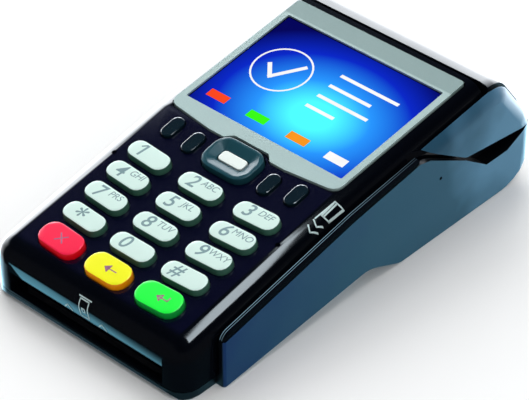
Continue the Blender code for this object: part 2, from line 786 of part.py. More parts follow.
def screw_bosses():
    """Columns under the display deck and the keypad face that the screws hold."""
    bosses = []
    for index, (x, y) in enumerate(screw_places()):
        low = floor_height(y) + BOTTOM_WALL + BOSS_CLEARANCE
        high = top_height(y) - TOP_WALL + GAP
        boss = prism(f"screw_boss_{index}", ring_outline(BOSS_RADIUS, SMALL_SIDES), low, high, "XY")
        boss.location = (x, y, 0)
        hole = prism(f"screw_boss_hole_{index}", ring_outline(SCREW_RADIUS + SCREW_CLEARANCE, SMALL_SIDES),
                     low - OVERRUN, low + SCREW_LENGTH + GAP, "XY")
        hole.location = (x, y, 0)
        combine(boss, hole)
        bosses.append(boss)
    return bosses


def lower_housing():
    """Satin tub: front foot, arch, bulge, heel and the right-hand side panel."""
    top = CREST_HEIGHT + OVERRUN
    panel_front = [(FRONT, top_height(FRONT) - PANEL_DROP, 0), (FOLD_Y, FOLD_HEIGHT - PANEL_DROP, 0)]
    panel_top = rounded(panel_front + seam_line())
    line = underside_line() + [(REAR, DOOR_LOW - GAP)] + panel_top[::-1]
    shell = prism("lower_housing", line, -SLOT_INNER, PANEL_OUTER, "YZ", satin_black())
    combine(shell, plan_cut(), "INTERSECT")
    combine(shell, inner_walls_cut(top))
    combine(shell, slot_cut(top))
    combine(shell, lower_cavity(top))
    combine(shell, finger_notch())
    for side in (-1, 1):
        combine(shell, hinge_knuckle(side), "UNION")
    bore = prism("knuckle_bore", ring_outline(HINGE_PIN_RADIUS + GAP, SMALL_SIDES),
                 -HINGE_SPREAD, HINGE_SPREAD, "YZ")
    bore.location = (0, HINGE_Y, HINGE_HEIGHT)
    combine(shell, bore)
    combine(shell, underside_pockets())
    smooth(shell)
    return shell


def underside_line():
    """Lower outline of the tub from the toe to the heel: front foot, arch, bulge."""
    rear_corner = rounded([(BULGE_Y, BASE, 0), (REAR, BASE, HEEL_RADIUS), (REAR, CREST_HEIGHT, 0)],
                          2 * ARC_STEPS)[1:-1]
    arch = rounded([
        (FRONT + TOE_CHAMFER, BASE, 0),
        (FRONT + FOOT_LENGTH, BASE, 0),
        (ARCH_Y, BASE + ARCH_RISE, ARCH_RADIUS),
        (BULGE_Y, BASE, BULGE_RADIUS),
        (REAR - HEEL_RADIUS, BASE, 0),
    ])[:-1]
    return [(FRONT, BASE + TOE_CHAMFER)] + arch + rear_corner


def plan_cut():
    """The tub's outline from above, with the narrower nose and rounded corners."""
    line = rounded([
        (-SLOT_INNER, FRONT, CORNER_RADIUS),
        (SLOT_INNER, FRONT, CORNER_RADIUS),
        (SLOT_INNER, NOSE_Y, 0),
        (PANEL_OUTER, NOSE_Y, PANEL_THICKNESS / 2),
        (PANEL_OUTER, REAR, CORNER_RADIUS),
        (-SLOT_INNER, REAR, CORNER_RADIUS),
    ])
    return prism("plan_cut", line, -OVERRUN, CREST_HEIGHT + OVERRUN, "XY")


def slot_cut(top):
    """The swipe slot between the housing wall and the panel, open at both ends."""
    rear = REAR + OVERRUN
    front = NOSE_Y - OVERRUN
    floor = [(front, SPLIT_HEIGHT + SLOT_FLOOR_RISE), (NOSE_Y, SPLIT_HEIGHT + SLOT_FLOOR_RISE),
             (rear, split_height(rear) + SLOT_FLOOR_RISE), (rear, top + OVERRUN), (front, top + OVERRUN)]
    return prism("slot_cut", floor, SLOT_INNER - GAP, SLOT_OUTER, "YZ")


def inner_walls_cut(top):
    """Room for the upper housing, inside the panel and in front of the door."""
    rear = SEAM_Y + GAP
    line = [(FRONT - OVERRUN, SPLIT_HEIGHT), (NOSE_Y, SPLIT_HEIGHT), (rear, split_height(rear)), (rear, top),
            (FRONT - OVERRUN, top)]
    return prism("inner_walls_cut", line, -PANEL_OUTER, SLOT_INNER + GAP, "YZ")


def lower_cavity(top):
    """The hollow of the tub, which follows the arch of its floor."""
    floor = BASE + BOTTOM_WALL
    line = rounded([
        (FRONT + SIDE_WALL, floor, TOE_CHAMFER),
        (FRONT + FOOT_LENGTH, floor, 0),
        (ARCH_Y, floor + ARCH_RISE, ARCH_RADIUS),
        (BULGE_Y, floor, BULGE_RADIUS),
        (REAR - SIDE_WALL, floor, HEEL_RADIUS - SIDE_WALL),
        (REAR - SIDE_WALL, top, 0),
        (FRONT + SIDE_WALL, top, 0),
    ])
    cavity = prism("lower_cavity", line, -CAVITY_HALF, CAVITY_HALF, "YZ")
    corner = CORNER_RADIUS - SIDE_WALL
    plan = rounded([(-CAVITY_HALF, FRONT + SIDE_WALL, corner), (CAVITY_HALF, FRONT + SIDE_WALL, corner),
                    (CAVITY_HALF, REAR - SIDE_WALL, corner), (-CAVITY_HALF, REAR - SIDE_WALL, corner)])
    combine(cavity, prism("lower_cavity_plan", plan, -OVERRUN, top + OVERRUN, "XY"), "INTERSECT")
    combine(cavity, notch_liner())
    return cavity


def foot_places():
    """Name and middle of the two rubber foot strips."""
    return [("rubber_foot_front", FRONT + FRONT_FOOT_BACK), ("rubber_foot_rear", REAR - REAR_FOOT_FORWARD)]


def foot_outline(grow=0.0):
    """Outline of a rubber foot strip."""
    depth = FOOT_DEPTH + 2 * grow
    return rounded_box(FOOT_WIDTH + 2 * grow, depth, depth / 2 - GAP / 2, 3)


def contact_outline(grow=0.0):
    """Outline of the contact block in the bulge's underside."""
    width = CONTACT_PITCH * (CONTACT_COUNT - 1) + CONTACT_WIDTH + 2 * CONTACT_BORDER
    return rounded_box(width + 2 * grow, CONTACT_LENGTH + 2 * CONTACT_BORDER + 2 * grow, 0)


def battery_middle():
    """Place of the battery along the body."""
    return BULGE_Y + BATTERY_FROM_BULGE + BATTERY_LENGTH / 2


def cover_outline(grow=0.0, forward=0.0):
    """Outline of the battery cover about the battery's middle; forward lengthens it to the front."""
    half = BATTERY_WIDTH / 2 + COVER_BORDER + grow
    front = BULGE_Y - COVER_FORWARD - battery_middle() - forward
    rear = BATTERY_LENGTH / 2 + COVER_BORDER + grow
    return [(-half, front), (half, front), (half, rear), (-half, rear)]


def underside_pockets():
    """Pockets for feet and contacts, the battery opening, the screw holes and the speaker grille."""
    pockets = []
    for name, y in foot_places():
        pocket = prism(name + "_pocket", foot_outline(GAP), -OVERRUN, BASE + FOOT_SUNK + GAP, "XY")
        pocket.location = (0, y, 0)
        pockets.append(pocket)
    pocket = prism("contact_pocket", contact_outline(GAP), -OVERRUN, BASE + CONTACT_THICKNESS + GAP, "XY")
    pocket.location = (0, REAR - CONTACT_FORWARD, 0)
    pockets.append(pocket)
    for x, y in screw_places():
        low = floor_height(y)
        shank = prism("screw_hole", ring_outline(SCREW_RADIUS + SCREW_CLEARANCE, SMALL_SIDES),
                      -OVERRUN, low + BOTTOM_WALL + OVERRUN, "XY")
        shank.location = (x, y, 0)
        head = prism("screw_sink", ring_outline(SCREW_HEAD_RADIUS + SCREW_CLEARANCE, SMALL_SIDES),
                     -OVERRUN, low + SCREW_HEAD_THICKNESS + GAP, "XY")
        head.location = (x, y, 0)
        combine(shank, head, "UNION")
        pockets.append(evaluated(shank))
        bpy.data.objects.remove(head)
    opening = prism("battery_opening", cover_outline(GAP, OVERRUN), -OVERRUN, BASE + COVER_THICKNESS / 2,
                    "XY")
    groove = prism("cover_groove", cover_outline(GAP + COVER_FLANGE, OVERRUN), BASE + COVER_STEP - GAP,
                   BASE + COVER_THICKNESS + GAP, "XY")
    through = prism("battery_through", rounded_box(BATTERY_WIDTH + 2 * GAP, BATTERY_LENGTH + 2 * GAP, 0),
                    BASE, BASE + BOTTOM_WALL + OVERRUN, "XY")
    combine(opening, groove, "UNION")
    combine(opening, through, "UNION")
    opening.location = (0, battery_middle(), 0)
    groove.location = opening.location
    through.location = opening.location
    pockets.append(evaluated(opening))
    bpy.data.objects.remove(groove)
    bpy.data.objects.remove(through)
    y, z, tilt = speaker_frame()
    slope = Matrix.Translation((0, y, z)) @ Matrix.Rotation(tilt, 4, "X")
    for step in range(SPEAKER_HOLE_COUNT):
        hole = prism("speaker_hole", ring_outline(SPEAKER_HOLE_RADIUS, HOLE_SIDES), -OVERRUN, OVERRUN, "XY")
        angle = 2 * pi * step / SPEAKER_HOLE_COUNT
        place_on_circle = (SPEAKER_HOLE_CIRCLE * cos(angle), SPEAKER_HOLE_CIRCLE * sin(angle), 0)
        hole.matrix_basis = slope @ Matrix.Translation(place_on_circle)
        pockets.append(hole)
    pin_hole = prism("pin_hole", ring_outline(PIN_HOLE_RADIUS, HOLE_SIDES),
                     PANEL_OUTER - PANEL_THICKNESS / 2, PANEL_OUTER + OVERRUN, "YZ")
    pin_hole.location = (0, SEAM_Y - PIN_HOLE_FORWARD, PIN_HOLE_HEIGHT)
    pockets.append(pin_hole)
    return joined("underside_pockets", pockets)


def evaluated(obj):
    """The object with its modifiers worked into its mesh."""
    bpy.context.view_layer.update()
    graph = bpy.context.evaluated_depsgraph_get()
    mesh = bpy.data.meshes.new_from_object(obj.evaluated_get(graph))
    obj.modifiers.clear()
    obj.data = mesh
    return obj


def speaker_frame():
    """Place on the arch's slope under the speaker, and the slope's angle."""
    y = FRONT + SPEAKER_BACK
    return y, floor_height(y), atan2(ARCH_RISE, ARCH_Y - FRONT - FOOT_LENGTH)


def swipe_rail():
    """Glossy lip of the swipe slot on top of the right-hand panel, its front corner rounded."""
    front = NOSE_Y
    rear = WING_Y - GAP
    low = PANEL_DROP - GAP
    wing_low = WING_DROP - GAP
    corner = rounded([
        (front, SPLIT_HEIGHT, 0),
        (front, top_height(front) - RAIL_DROP, RAIL_CORNER),
        (FOLD_Y, FOLD_HEIGHT - RAIL_DROP, 0),
    ], 2 * ARC_STEPS)[1:-1]
    line = [(y, z) for y, z in corner if z > top_height(front) - low] + [
        (FOLD_Y, FOLD_HEIGHT - RAIL_DROP),
        (rear, top_height(rear) - RAIL_DROP),
        (rear, top_height(rear) - wing_low),
        (FOLD_Y, FOLD_HEIGHT - low),
    ]
    rail = prism("swipe_rail", line, SLOT_OUTER, PANEL_OUTER - RAIL_SETBACK, "YZ", gloss_black())
    soften(rail, GAP, 1)
    smooth(rail)
    return rail


def paper_door(hinge):
    """Rear cover over the paper roll, with a side wing, platen lugs and hinge barrel."""
    door = rolled_body("paper_door", FRONT, REAR, PANEL_OUTER, 0, ROLL_RADIUS, satin_black())
    far = PANEL_OUTER + OVERRUN
    top = CREST_HEIGHT + 2 * OVERRUN
    combine(door, box("before_door", (-far, FRONT - OVERRUN, -2 * OVERRUN), (SLOT_INNER + GAP, DOOR_FRONT, top)))
    combine(door, box("before_wing", (SLOT_INNER, FRONT - 2 * OVERRUN, -3 * OVERRUN),
                      (far + OVERRUN, WING_Y - OVERRUN / 2, top + OVERRUN)))
    angles = [pi / 2 * step / ARC_STEPS for step in range(ARC_STEPS + 1)]
    arc = [(HINGE_Y + HINGE_EDGE_RADIUS * sin(angle), HINGE_HEIGHT - HINGE_EDGE_RADIUS * cos(angle))
           for angle in angles]
    tip = top_height(WING_Y) + GAP
    below = rounded([(WING_Y, tip, 0)] + seam_line(DOOR_SEAM)[2:]) + arc + [
        (REAR + OVERRUN, HINGE_HEIGHT), (REAR + OVERRUN, -2 * OVERRUN), (WING_Y - OVERRUN, -2 * OVERRUN),
        (WING_Y - OVERRUN, tip)]
    combine(door, prism("below_door", below, -far, far, "YZ"))
    combine(door, door_cavity())
    combine(door, door_slot(top))
    barrel = prism("door_barrel", ring_outline(HINGE_BARREL_RADIUS, SMALL_SIDES),
                   -HINGE_BARREL_LENGTH / 2, HINGE_BARREL_LENGTH / 2, "YZ")
    barrel.location = (0, HINGE_Y, HINGE_HEIGHT)
    combine(door, barrel, "UNION")
    combine(door, hinge_relief())
    for side in (-1, 1):
        combine(door, platen_lug(side), "UNION")
    hinge_bore = prism("hinge_bore", ring_outline(HINGE_PIN_RADIUS + GAP, SMALL_SIDES),
                       -HINGE_SPREAD, HINGE_SPREAD, "YZ")
    hinge_bore.location = (0, HINGE_Y, HINGE_HEIGHT)
    platen_bore = prism("platen_bore", ring_outline(SHAFT_RADIUS + SHAFT_CLEARANCE, SMALL_SIDES),
                        -PLATE_X, PLATE_X, "YZ")
    platen_bore.location = (0, PLATEN_Y, PLATEN_HEIGHT)
    combine(door, joined("door_bores", [hinge_bore, platen_bore]))
    smooth(door)
    door.parent = hinge
    door.matrix_parent_inverse = Matrix.Translation(-Vector((0, HINGE_Y, HINGE_HEIGHT)))
    return door


def door_cavity():
    """The hollow under the door's crest, over the paper roll."""
    return rolled_body("door_cavity", FRONT, REAR - SIDE_WALL, CAVITY_HALF, SIDE_WALL, SIDE_WALL)


def hinge_relief():
    """Notches for the tub's two hinge knuckles."""
    reliefs = []
    for side in (-1, 1):
        middle = side * HINGE_SPREAD / 2
        reach = HINGE_BARREL_LENGTH / 2 + GAP
        relief = prism("barrel_relief", ring_outline(HINGE_EDGE_RADIUS + GAP, SMALL_SIDES), middle - reach,
                       middle + reach, "YZ")
        relief.location = (0, HINGE_Y, HINGE_HEIGHT)
        reliefs.append(relief)
    return joined("hinge_reliefs", reliefs)


def platen_lug(side):
    """Bearing lug that hangs from the door beside the platen roller."""
    inner = PLATEN_HALF_LENGTH + GAP
    low, high = sorted((side * inner, side * (inner + LUG_THICKNESS)))
    top = CREST_HEIGHT - SIDE_WALL / 2
    front = PLATEN_Y - LUG_RADIUS * LUG_WAIST_SHARE
    heel = PLATEN_HEIGHT - LUG_RADIUS * LUG_HEEL_SHARE
    line = [(front, heel), (PLATEN_Y, PLATEN_HEIGHT - LUG_RADIUS), (PLATEN_Y + LUG_RADIUS, heel),
            (PLATEN_Y + 2 * LUG_RADIUS, top - GAP), (PLATEN_Y + GAP, top),
            (front, PLATEN_HEIGHT + LUG_RADIUS * LUG_RISE_SHARE)]
    return prism(f"platen_lug_{side}", line, low, high, "YZ")


def hinge_pin():
    """Steel pin of the paper door."""
    length = HINGE_SPREAD / 2 + HINGE_BARREL_LENGTH / 2
    pin = prism("hinge_pin", ring_outline(HINGE_PIN_RADIUS, SMALL_SIDES), -length, length, "YZ", steel())
    pin.location = (0, HINGE_Y, HINGE_HEIGHT)
    smooth(pin)
    return pin


def display_bezel(display):
    """Silver bezel that clamps the window."""
    bezel = prism("display_bezel", bezel_outline(), GAP - BEZEL_SUNK, BEZEL_PROUD, "XY",
                  material("silver_paint", (0.36, 0.43, 0.42), 0.32, 0.75), display)
    combine(bezel, prism("bezel_opening", picture_outline(PICTURE_CLEARANCE), -OVERRUN, OVERRUN, "XY",
                         parent=display))
    combine(bezel, prism("window_seat", picture_outline(WINDOW_BORDER + GAP), -OVERRUN,
                         BEZEL_PROUD - BEZEL_LIP, "XY", parent=display))
    smooth(bezel)
    return bezel


def display_window(display):
    """Clear pane over the picture."""
    low = GAP - BEZEL_SUNK
    return prism("display_window", picture_outline(WINDOW_BORDER), low, low + WINDOW_THICKNESS, "XY",
                 material("clear_window", (0.02, 0.05, 0.12), 0.05), display)


def lcd_module(display):
    """Picture module under the display deck."""
    top = -TOP_WALL - GAP
    return prism("lcd_module", picture_outline(LCD_BORDER), top - LCD_THICKNESS, top, "XY",
                 material("lcd_blue", (0.03, 0.20, 0.75), 0.20), display)


def key_cap(name, coloured, surface, keypad, x, down, turn):
    """A key with rounded top edge and a retaining flange below the keypad face."""
    cap = prism(name + "_cap", key_outline(coloured), -FLANGE_DROP - GAP, KEY_PROUD, "XY")
    flange = prism(name + "_flange", key_outline(coloured, KEY_FLANGE), -FLANGE_DROP - KEY_FLANGE_THICKNESS,
                   -FLANGE_DROP, "XY")
    mesh = round_top(cap, KEY_EDGE)
    key = place(name, mesh, surface, keypad)
    key.location = (x, down, 0)
    key.rotation_euler = (0, 0, turn)
    flange.parent = key
    combine(key, flange, "UNION")
    smooth(key)
    return key


def round_top(obj, width):
    """The object's mesh with its top rim rounded; the object is removed."""
    shape = bmesh.new()
    shape.from_mesh(obj.data)
    top = max(vert.co.z for vert in shape.verts)
    caps = [face for face in shape.faces if all(abs(vert.co.z - top) < GAP / 100 for vert in face.verts)]
    bmesh.ops.dissolve_faces(shape, faces=caps)
    rim = [edge for edge in shape.edges if all(abs(vert.co.z - top) < GAP / 100 for vert in edge.verts)]
    bmesh.ops.bevel(shape, geom=rim, offset=width, segments=2, profile=0.5, affect="EDGES")
    bmesh.ops.triangulate(shape, faces=[face for face in shape.faces if len(face.verts) > 4])
    mesh = bpy.data.meshes.new(obj.name)
    shape.to_mesh(mesh)
    shape.free()
    bpy.data.objects.remove(obj)
    return mesh


def keys(keypad):
    """Twelve white keys and three coloured ones."""
    colours = {
        "key_cancel": material("red_key_plastic", (0.90, 0.02, 0.08), 0.35),
        "key_clear": material("yellow_key_plastic", (0.85, 0.85, 0.01), 0.35),
        "key_enter": material("green_key_plastic", (0.02, 0.85, 0.10), 0.35),
    }
    for name, x, down, turn, coloured in key_places():
        key_cap(name, coloured, colours.get(name, white_key()), keypad, x, down, turn)


def function_keys(keypad):
    """Four dark oval keys below the display."""
    surface = material("dark_key_plastic", (0.020, 0.040, 0.055), 0.30)
    for name, x, down in function_places():
        cap = prism(name + "_cap", function_outline(), -FLANGE_DROP - GAP, FUNCTION_KEY_PROUD, "XY")
        key = place(name, round_top(cap, KEY_EDGE / 2), surface, keypad)
        key.location = (x, down, 0)
        flange = prism(name + "_flange", function_outline(KEY_FLANGE), -FLANGE_DROP - KEY_FLANGE_THICKNESS,
                       -FLANGE_DROP, "XY", parent=key)
        combine(key, flange, "UNION")
        smooth(key)


def navigation(keypad):
    """Rocking ring, its tilting boss and the select key inside it."""
    surface = material("teal_key_plastic", (0.030, 0.110, 0.140), 0.22)
    flange_top = -TOP_WALL - NAV_ROCK_GAP
    flange_low = flange_top - KEY_FLANGE_THICKNESS
    outline = rounded_box(NAV_WIDTH, NAV_HEIGHT, NAV_CORNER)
    cap = prism("nav_cap", outline, flange_top - GAP, NAV_PROUD, "XY")
    ring = place("nav_ring", round_top(cap, KEY_EDGE), surface, keypad)
    ring.location = (0, -NAV_DOWN, 0)
    grown = rounded_box(NAV_WIDTH + 2 * KEY_FLANGE, NAV_HEIGHT + 2 * KEY_FLANGE, NAV_CORNER)
    combine(ring, prism("nav_flange", grown, flange_low, flange_top, "XY", parent=ring), "UNION")
    combine(ring, nav_dish(ring))
    hole = rounded_box(SELECT_WIDTH + 2 * GAP, SELECT_HEIGHT + 2 * GAP, SELECT_CORNER, 2)
    combine(ring, prism("select_hole", hole, flange_low - OVERRUN, NAV_PROUD + OVERRUN, "XY", parent=ring))
    smooth(ring)
    boss_top = flange_low - GAP
    inner = rounded_box(NAV_WIDTH - NAV_BOSS_INSET, NAV_HEIGHT, NAV_CORNER)
    boss = prism("nav_boss", inner, boss_top - NAV_BOSS_THICKNESS, boss_top, "XY", engineering_plastic(),
                 keypad)
    boss.location = (0, -NAV_DOWN, 0)
    combine(boss, prism("boss_hole", hole, boss_top - OVERRUN, boss_top + OVERRUN, "XY", parent=boss))
    button = prism("select_cap", rounded_box(SELECT_WIDTH, SELECT_HEIGHT, SELECT_CORNER, 2),
                   boss_top - NAV_BOSS_THICKNESS, NAV_PROUD - NAV_DISH + GAP, "XY")
    select = place("nav_select", round_top(button, KEY_EDGE / 2), white_key(), keypad)
    select.location = (0, -NAV_DOWN, 0)
    smooth(select)


def nav_dish(ring):
    """Faceted dish in the top of the ring, deepest at the select key."""
    mesh = bpy.data.meshes.new("nav_dish")
    shape = bmesh.new()
    top = NAV_PROUD + GAP
    rim = rounded_box(NAV_WIDTH - 2 * NAV_RIM, NAV_HEIGHT - 2 * NAV_RIM, NAV_CORNER - NAV_RIM)
    floor = rounded_box(SELECT_WIDTH + 4 * GAP, SELECT_HEIGHT + 4 * GAP, SELECT_CORNER)
    high = [shape.verts.new((u, v, top)) for u, v in rim]
    low = [shape.verts.new((u, v, NAV_PROUD - NAV_DISH)) for u, v in floor]
    shape.faces.new(high)
    shape.faces.new(list(reversed(low)))
    for index in range(len(high)):
        after = (index + 1) % len(high)
        shape.faces.new((high[index], low[index], low[after], high[after]))
    face_outwards(shape)
    shape.to_mesh(mesh)
    shape.free()
    return place("nav_dish", mesh, parent=ring)


def board_reach():
    """Half width and front and rear ends of the keypad mat and the board under it."""
    half = COLUMN_PITCH + KEY_WIDTH / 2 + KEY_FLANGE
    front = FIRST_ROW + 3 * KEY_PITCH + COLOUR_PITCH + COLOUR_KEY_HEIGHT / 2
    return half, -front, -MAT_MARGIN


def keypad_mat(keypad):
    """Rubber mat with a pad under each key."""
    half, front, rear = board_reach()
    mat = box("keypad_mat", (-half, front, -MAT_DROP - MAT_THICKNESS), (half, rear, -MAT_DROP), dark_rubber(),
              keypad)
    low = -MAT_DROP - GAP
    pads = []
    for name, x, down, turn, coloured in key_places():
        pad = box(name + "_pad", (-PAD_WIDTH / 2, -PAD_DEPTH / 2, low),
                  (PAD_WIDTH / 2, PAD_DEPTH / 2, -PAD_DROP))
        pad.matrix_basis = Matrix.Translation((x, down, 0)) @ Matrix.Rotation(turn, 4, "Z")
        pads.append(pad)
    for name, x, down in function_places():
        pad = box(name + "_pad", (-PAD_DEPTH / 2, -PAD_WIDTH / 2, low),
                  (PAD_DEPTH / 2, PAD_WIDTH / 2, -PAD_DROP))
        pad.location = (x, down, 0)
        pads.append(pad)
    combine(mat, joined("mat_pads", pads, parent=keypad), "UNION")
    return mat


def main_board(keypad):
    """Circuit board under the mat, with chips on its lower face."""
    half, front, rear = board_reach()
    low = -BOARD_DROP - BOARD_THICKNESS
    board = box("main_board", (-half, front, low), (half, rear, -BOARD_DROP),
                material("green_board", (0.02, 0.16, 0.07), 0.45), keypad)
    chips = [box("chip", (x - CHIP_SIDE / 2, rear - CHIP_SPACING - CHIP_SIDE / 2, low - CHIP_HEIGHT),
                 (x + CHIP_SIDE / 2, rear - CHIP_SPACING + CHIP_SIDE / 2, low + GAP))
             for x in (-CHIP_SPACING, CHIP_SPACING)]
    combine(board, joined("board_chips", chips, parent=keypad), "UNION")
    return board


def coin_cell(keypad):
    """Backup coin cell under the board."""
    rear = board_reach()[2]
    top = -BOARD_DROP - BOARD_THICKNESS - GAP
    cell = prism("coin_cell", ring_outline(COIN_CELL_RADIUS), top - COIN_CELL_THICKNESS, top, "XY", steel(),
                 keypad)
    cell.location = (0, rear - CHIP_SPACING, 0)
    smooth(cell)
    return cell


def chip_reader():
    """Flared throat behind the mouth and the reader block with its card slot."""
    middle = MOUTH_BOTTOM + MOUTH_HEIGHT / 2
    throat_front = FRONT + SIDE_WALL + GAP
    throat_rear = throat_front + THROAT_DEPTH
    reach = MOUTH_WIDTH / 2 + THROAT_WALL
    rise = MOUTH_HEIGHT / 2 + THROAT_WALL
    throat = box("slot_throat", (-reach, throat_front, middle - rise), (reach, throat_rear, middle + rise),
                 gloss_black())
    through = box("throat_cut", (-MOUTH_WIDTH / 2, throat_front - OVERRUN, middle - MOUTH_HEIGHT / 2),
                  (MOUTH_WIDTH / 2, throat_rear + OVERRUN, middle + MOUTH_HEIGHT / 2))
    combine(throat, through)
    frame = empty("reader_frame", (0, throat_rear + GAP, middle), (CARD_TILT, 0, 0))
    half = READER_THICKNESS / 2
    front = half * tan(CARD_TILT)
    reader = box("chip_reader", (-reach, front, -half), (reach, front + READER_LENGTH, half),
                 engineering_plastic(), frame)
    slot = box("card_slot_cut", (-MOUTH_WIDTH / 2 + THROAT_WALL, -OVERRUN, -CARD_GAP / 2),
               (MOUTH_WIDTH / 2 - THROAT_WALL, READER_LENGTH - THROAT_WALL, CARD_GAP / 2), parent=frame)
    combine(reader, slot)
    return reader


def stripe_head():
    """Magnetic head in the slot wall and the leaf spring behind it."""
    y, z = stripe_centre()
    centre = SLOT_INNER + HEAD_PROUD
    head = box("stripe_head", (-HEAD_THICKNESS, -HEAD_LENGTH / 2, -HEAD_HEIGHT / 2),
               (0, HEAD_LENGTH / 2, HEAD_HEIGHT / 2), steel())
    head.location = (centre, y, z)
    soften(head, GAP, 2)
    smooth(head)
    back = centre - HEAD_THICKNESS - HEAD_TRAVEL - GAP
    reach = HEAD_LENGTH / 2 + SPRING_OVERHANG
    wall = CAVITY_HALF - GAP
    post = reach - SPRING_POST
    leaf = [(wall, -reach), (wall, -post), (back, -post), (back, post), (wall, post), (wall, reach),
            (back - SPRING_THICKNESS, reach), (back - SPRING_THICKNESS, -reach)]
    spring = prism("stripe_head_spring", leaf, z - HEAD_HEIGHT / 4, z + HEAD_HEIGHT / 4, "XY", steel())
    spring.location = (0, y, 0)
    return head


def gear_outline(teeth, phase):
    """Outline of a spur gear with straight-sided teeth, one tooth centred on the phase angle."""
    pitch_radius = GEAR_MODULE * teeth / 2
    tip = pitch_radius + GEAR_MODULE * TOOTH_TIP_SHARE
    root = pitch_radius - GEAR_MODULE * TOOTH_ROOT_SHARE
    flanks = ((-TOOTH_ROOT_HALF_SHARE, root), (-TOOTH_TIP_HALF_SHARE, tip), (TOOTH_TIP_HALF_SHARE, tip),
              (TOOTH_ROOT_HALF_SHARE, root))
    step = 2 * pi / teeth
    outline = []
    for tooth in range(teeth):
        middle = phase + tooth * step
        for offset_share, radius in flanks:
            angle = middle + offset_share * step
            outline.append((radius * cos(angle), radius * sin(angle)))
    return outline


def gear(name, teeth, phase, y, z, bore, surface):
    """A gear on the X axis at a place in the side view."""
    wheel = prism(name, gear_outline(teeth, phase), -GEAR_WIDTH / 2, GEAR_WIDTH / 2, "YZ", surface)
    wheel.location = (GEAR_X, y, z)
    combine(wheel, prism(name + "_bore", ring_outline(bore, SMALL_SIDES), -OVERRUN, OVERRUN, "YZ",
                         parent=wheel))
    return wheel


def gear_train():
    """Motor pinion, idler and platen gear, in mesh at rest."""
    surface = material("ivory_gear_plastic", (0.72, 0.70, 0.62), 0.45)
    to_platen = IDLER_ANGLE - pi
    offset = (to_platen - PINION_ANGLE) % (2 * pi / IDLER_TEETH)
    pinion_phase = PINION_ANGLE + pi - offset * IDLER_TEETH / PINION_TEETH + pi / PINION_TEETH
    gear("drive_gear", IDLER_TEETH, to_platen, IDLER_Y, IDLER_Z, STUD_RADIUS + GAP, surface)
    gear("platen_gear", PLATEN_TEETH, IDLER_ANGLE + pi / PLATEN_TEETH, PLATEN_Y, PLATEN_HEIGHT,
         SHAFT_RADIUS + GAP, surface)
    gear("motor_pinion", PINION_TEETH, pinion_phase, PINION_Y, PINION_Z, MOTOR_SHAFT_RADIUS + GAP, steel())


def platen_roller():
    """Rubber platen on its steel shaft, carried by the door."""
    roller = prism("platen_roller", ring_outline(PLATEN_RADIUS), -PLATEN_HALF_LENGTH, PLATEN_HALF_LENGTH,
                   "YZ", dark_rubber())
    roller.location = (0, PLATEN_Y, PLATEN_HEIGHT)
    bore = prism("platen_core", ring_outline(SHAFT_RADIUS + GAP, SMALL_SIDES), -PLATE_X, PLATE_X, "YZ",
                 parent=roller)
    combine(roller, bore)
    smooth(roller)
    shaft = prism("platen_shaft", ring_outline(SHAFT_RADIUS, SMALL_SIDES), GEAR_X - GEAR_WIDTH / 2,
                  PLATEN_HALF_LENGTH + GAP + LUG_THICKNESS + GAP, "YZ", steel())
    shaft.location = (0, PLATEN_Y, PLATEN_HEIGHT)
    smooth(shaft)
    return roller


def printer_frame():
    """Side plates and cross bars that carry the print head, the motor and the idler."""
    surface = engineering_plastic()
    head_low = PLATEN_HEIGHT - PRINT_HEAD_DROP
    head_front = PRINT_FACE_Y - PRINT_HEAD_THICKNESS
    head_middle = head_front + PRINT_HEAD_THICKNESS / 2
    head_top = head_low + PRINT_HEAD_HEIGHT
    left = rounded([
        (PINION_Y - MOTOR_RADIUS, PINION_Z - MOTOR_RADIUS, FRAME_CORNER),
        (IDLER_Y + STUD_RADIUS * 2, PINION_Z - MOTOR_RADIUS, FRAME_CORNER),
        (head_middle, head_low, 0),
        (head_middle, head_top, 0),
        (head_front - FRAME_PLATE, head_top, 0),
        (head_front - FRAME_PLATE, PINION_Z + MOTOR_RADIUS, 0),
        (PINION_Y - MOTOR_RADIUS, PINION_Z + MOTOR_RADIUS, FRAME_CORNER),
    ], 2)
    frame = prism("printer_frame", left, -PLATE_X - FRAME_PLATE, -PLATE_X, "YZ", surface)
    right = [(head_front - FRAME_PLATE, head_low - FRAME_PLATE), (head_middle, head_low - FRAME_PLATE),
             (head_middle, head_top), (head_front - FRAME_PLATE, head_top)]
    combine(frame, prism("frame_right_plate", right, PLATE_X, PLATE_X + FRAME_PLATE, "YZ"), "UNION")
    beam = box("frame_beam", (-PLATE_X - FRAME_PLATE / 2, head_front - FRAME_PLATE - GAP, head_low),
               (PLATE_X + FRAME_PLATE / 2, head_front - GAP, head_low + PRINT_HEAD_HEIGHT / 2))
    combine(frame, beam, "UNION")
    stud = prism("idler_stud", ring_outline(STUD_RADIUS, SMALL_SIDES), GEAR_X - GEAR_WIDTH / 2,
                 -PLATE_X - FRAME_PLATE / 2, "YZ")
    stud.location = (0, IDLER_Y, IDLER_Z)
    combine(frame, stud, "UNION")
    hole = prism("motor_shaft_hole", ring_outline(MOTOR_SHAFT_RADIUS * 2, SMALL_SIDES), -PLATE_X - OVERRUN,
                 -PLATE_X + GAP, "YZ")
    hole.location = (0, PINION_Y, PINION_Z)
    combine(frame, hole)
    return frame


def print_head():
    """Thermal head that faces the platen."""
    low = PLATEN_HEIGHT - PRINT_HEAD_DROP
    return box("print_head", (-PRINT_HEAD_HALF_WIDTH, PRINT_FACE_Y - PRINT_HEAD_THICKNESS, low),
               (PRINT_HEAD_HALF_WIDTH, PRINT_FACE_Y, low + PRINT_HEAD_HEIGHT),
               material("print_head_ceramic", (0.35, 0.33, 0.30), 0.4))


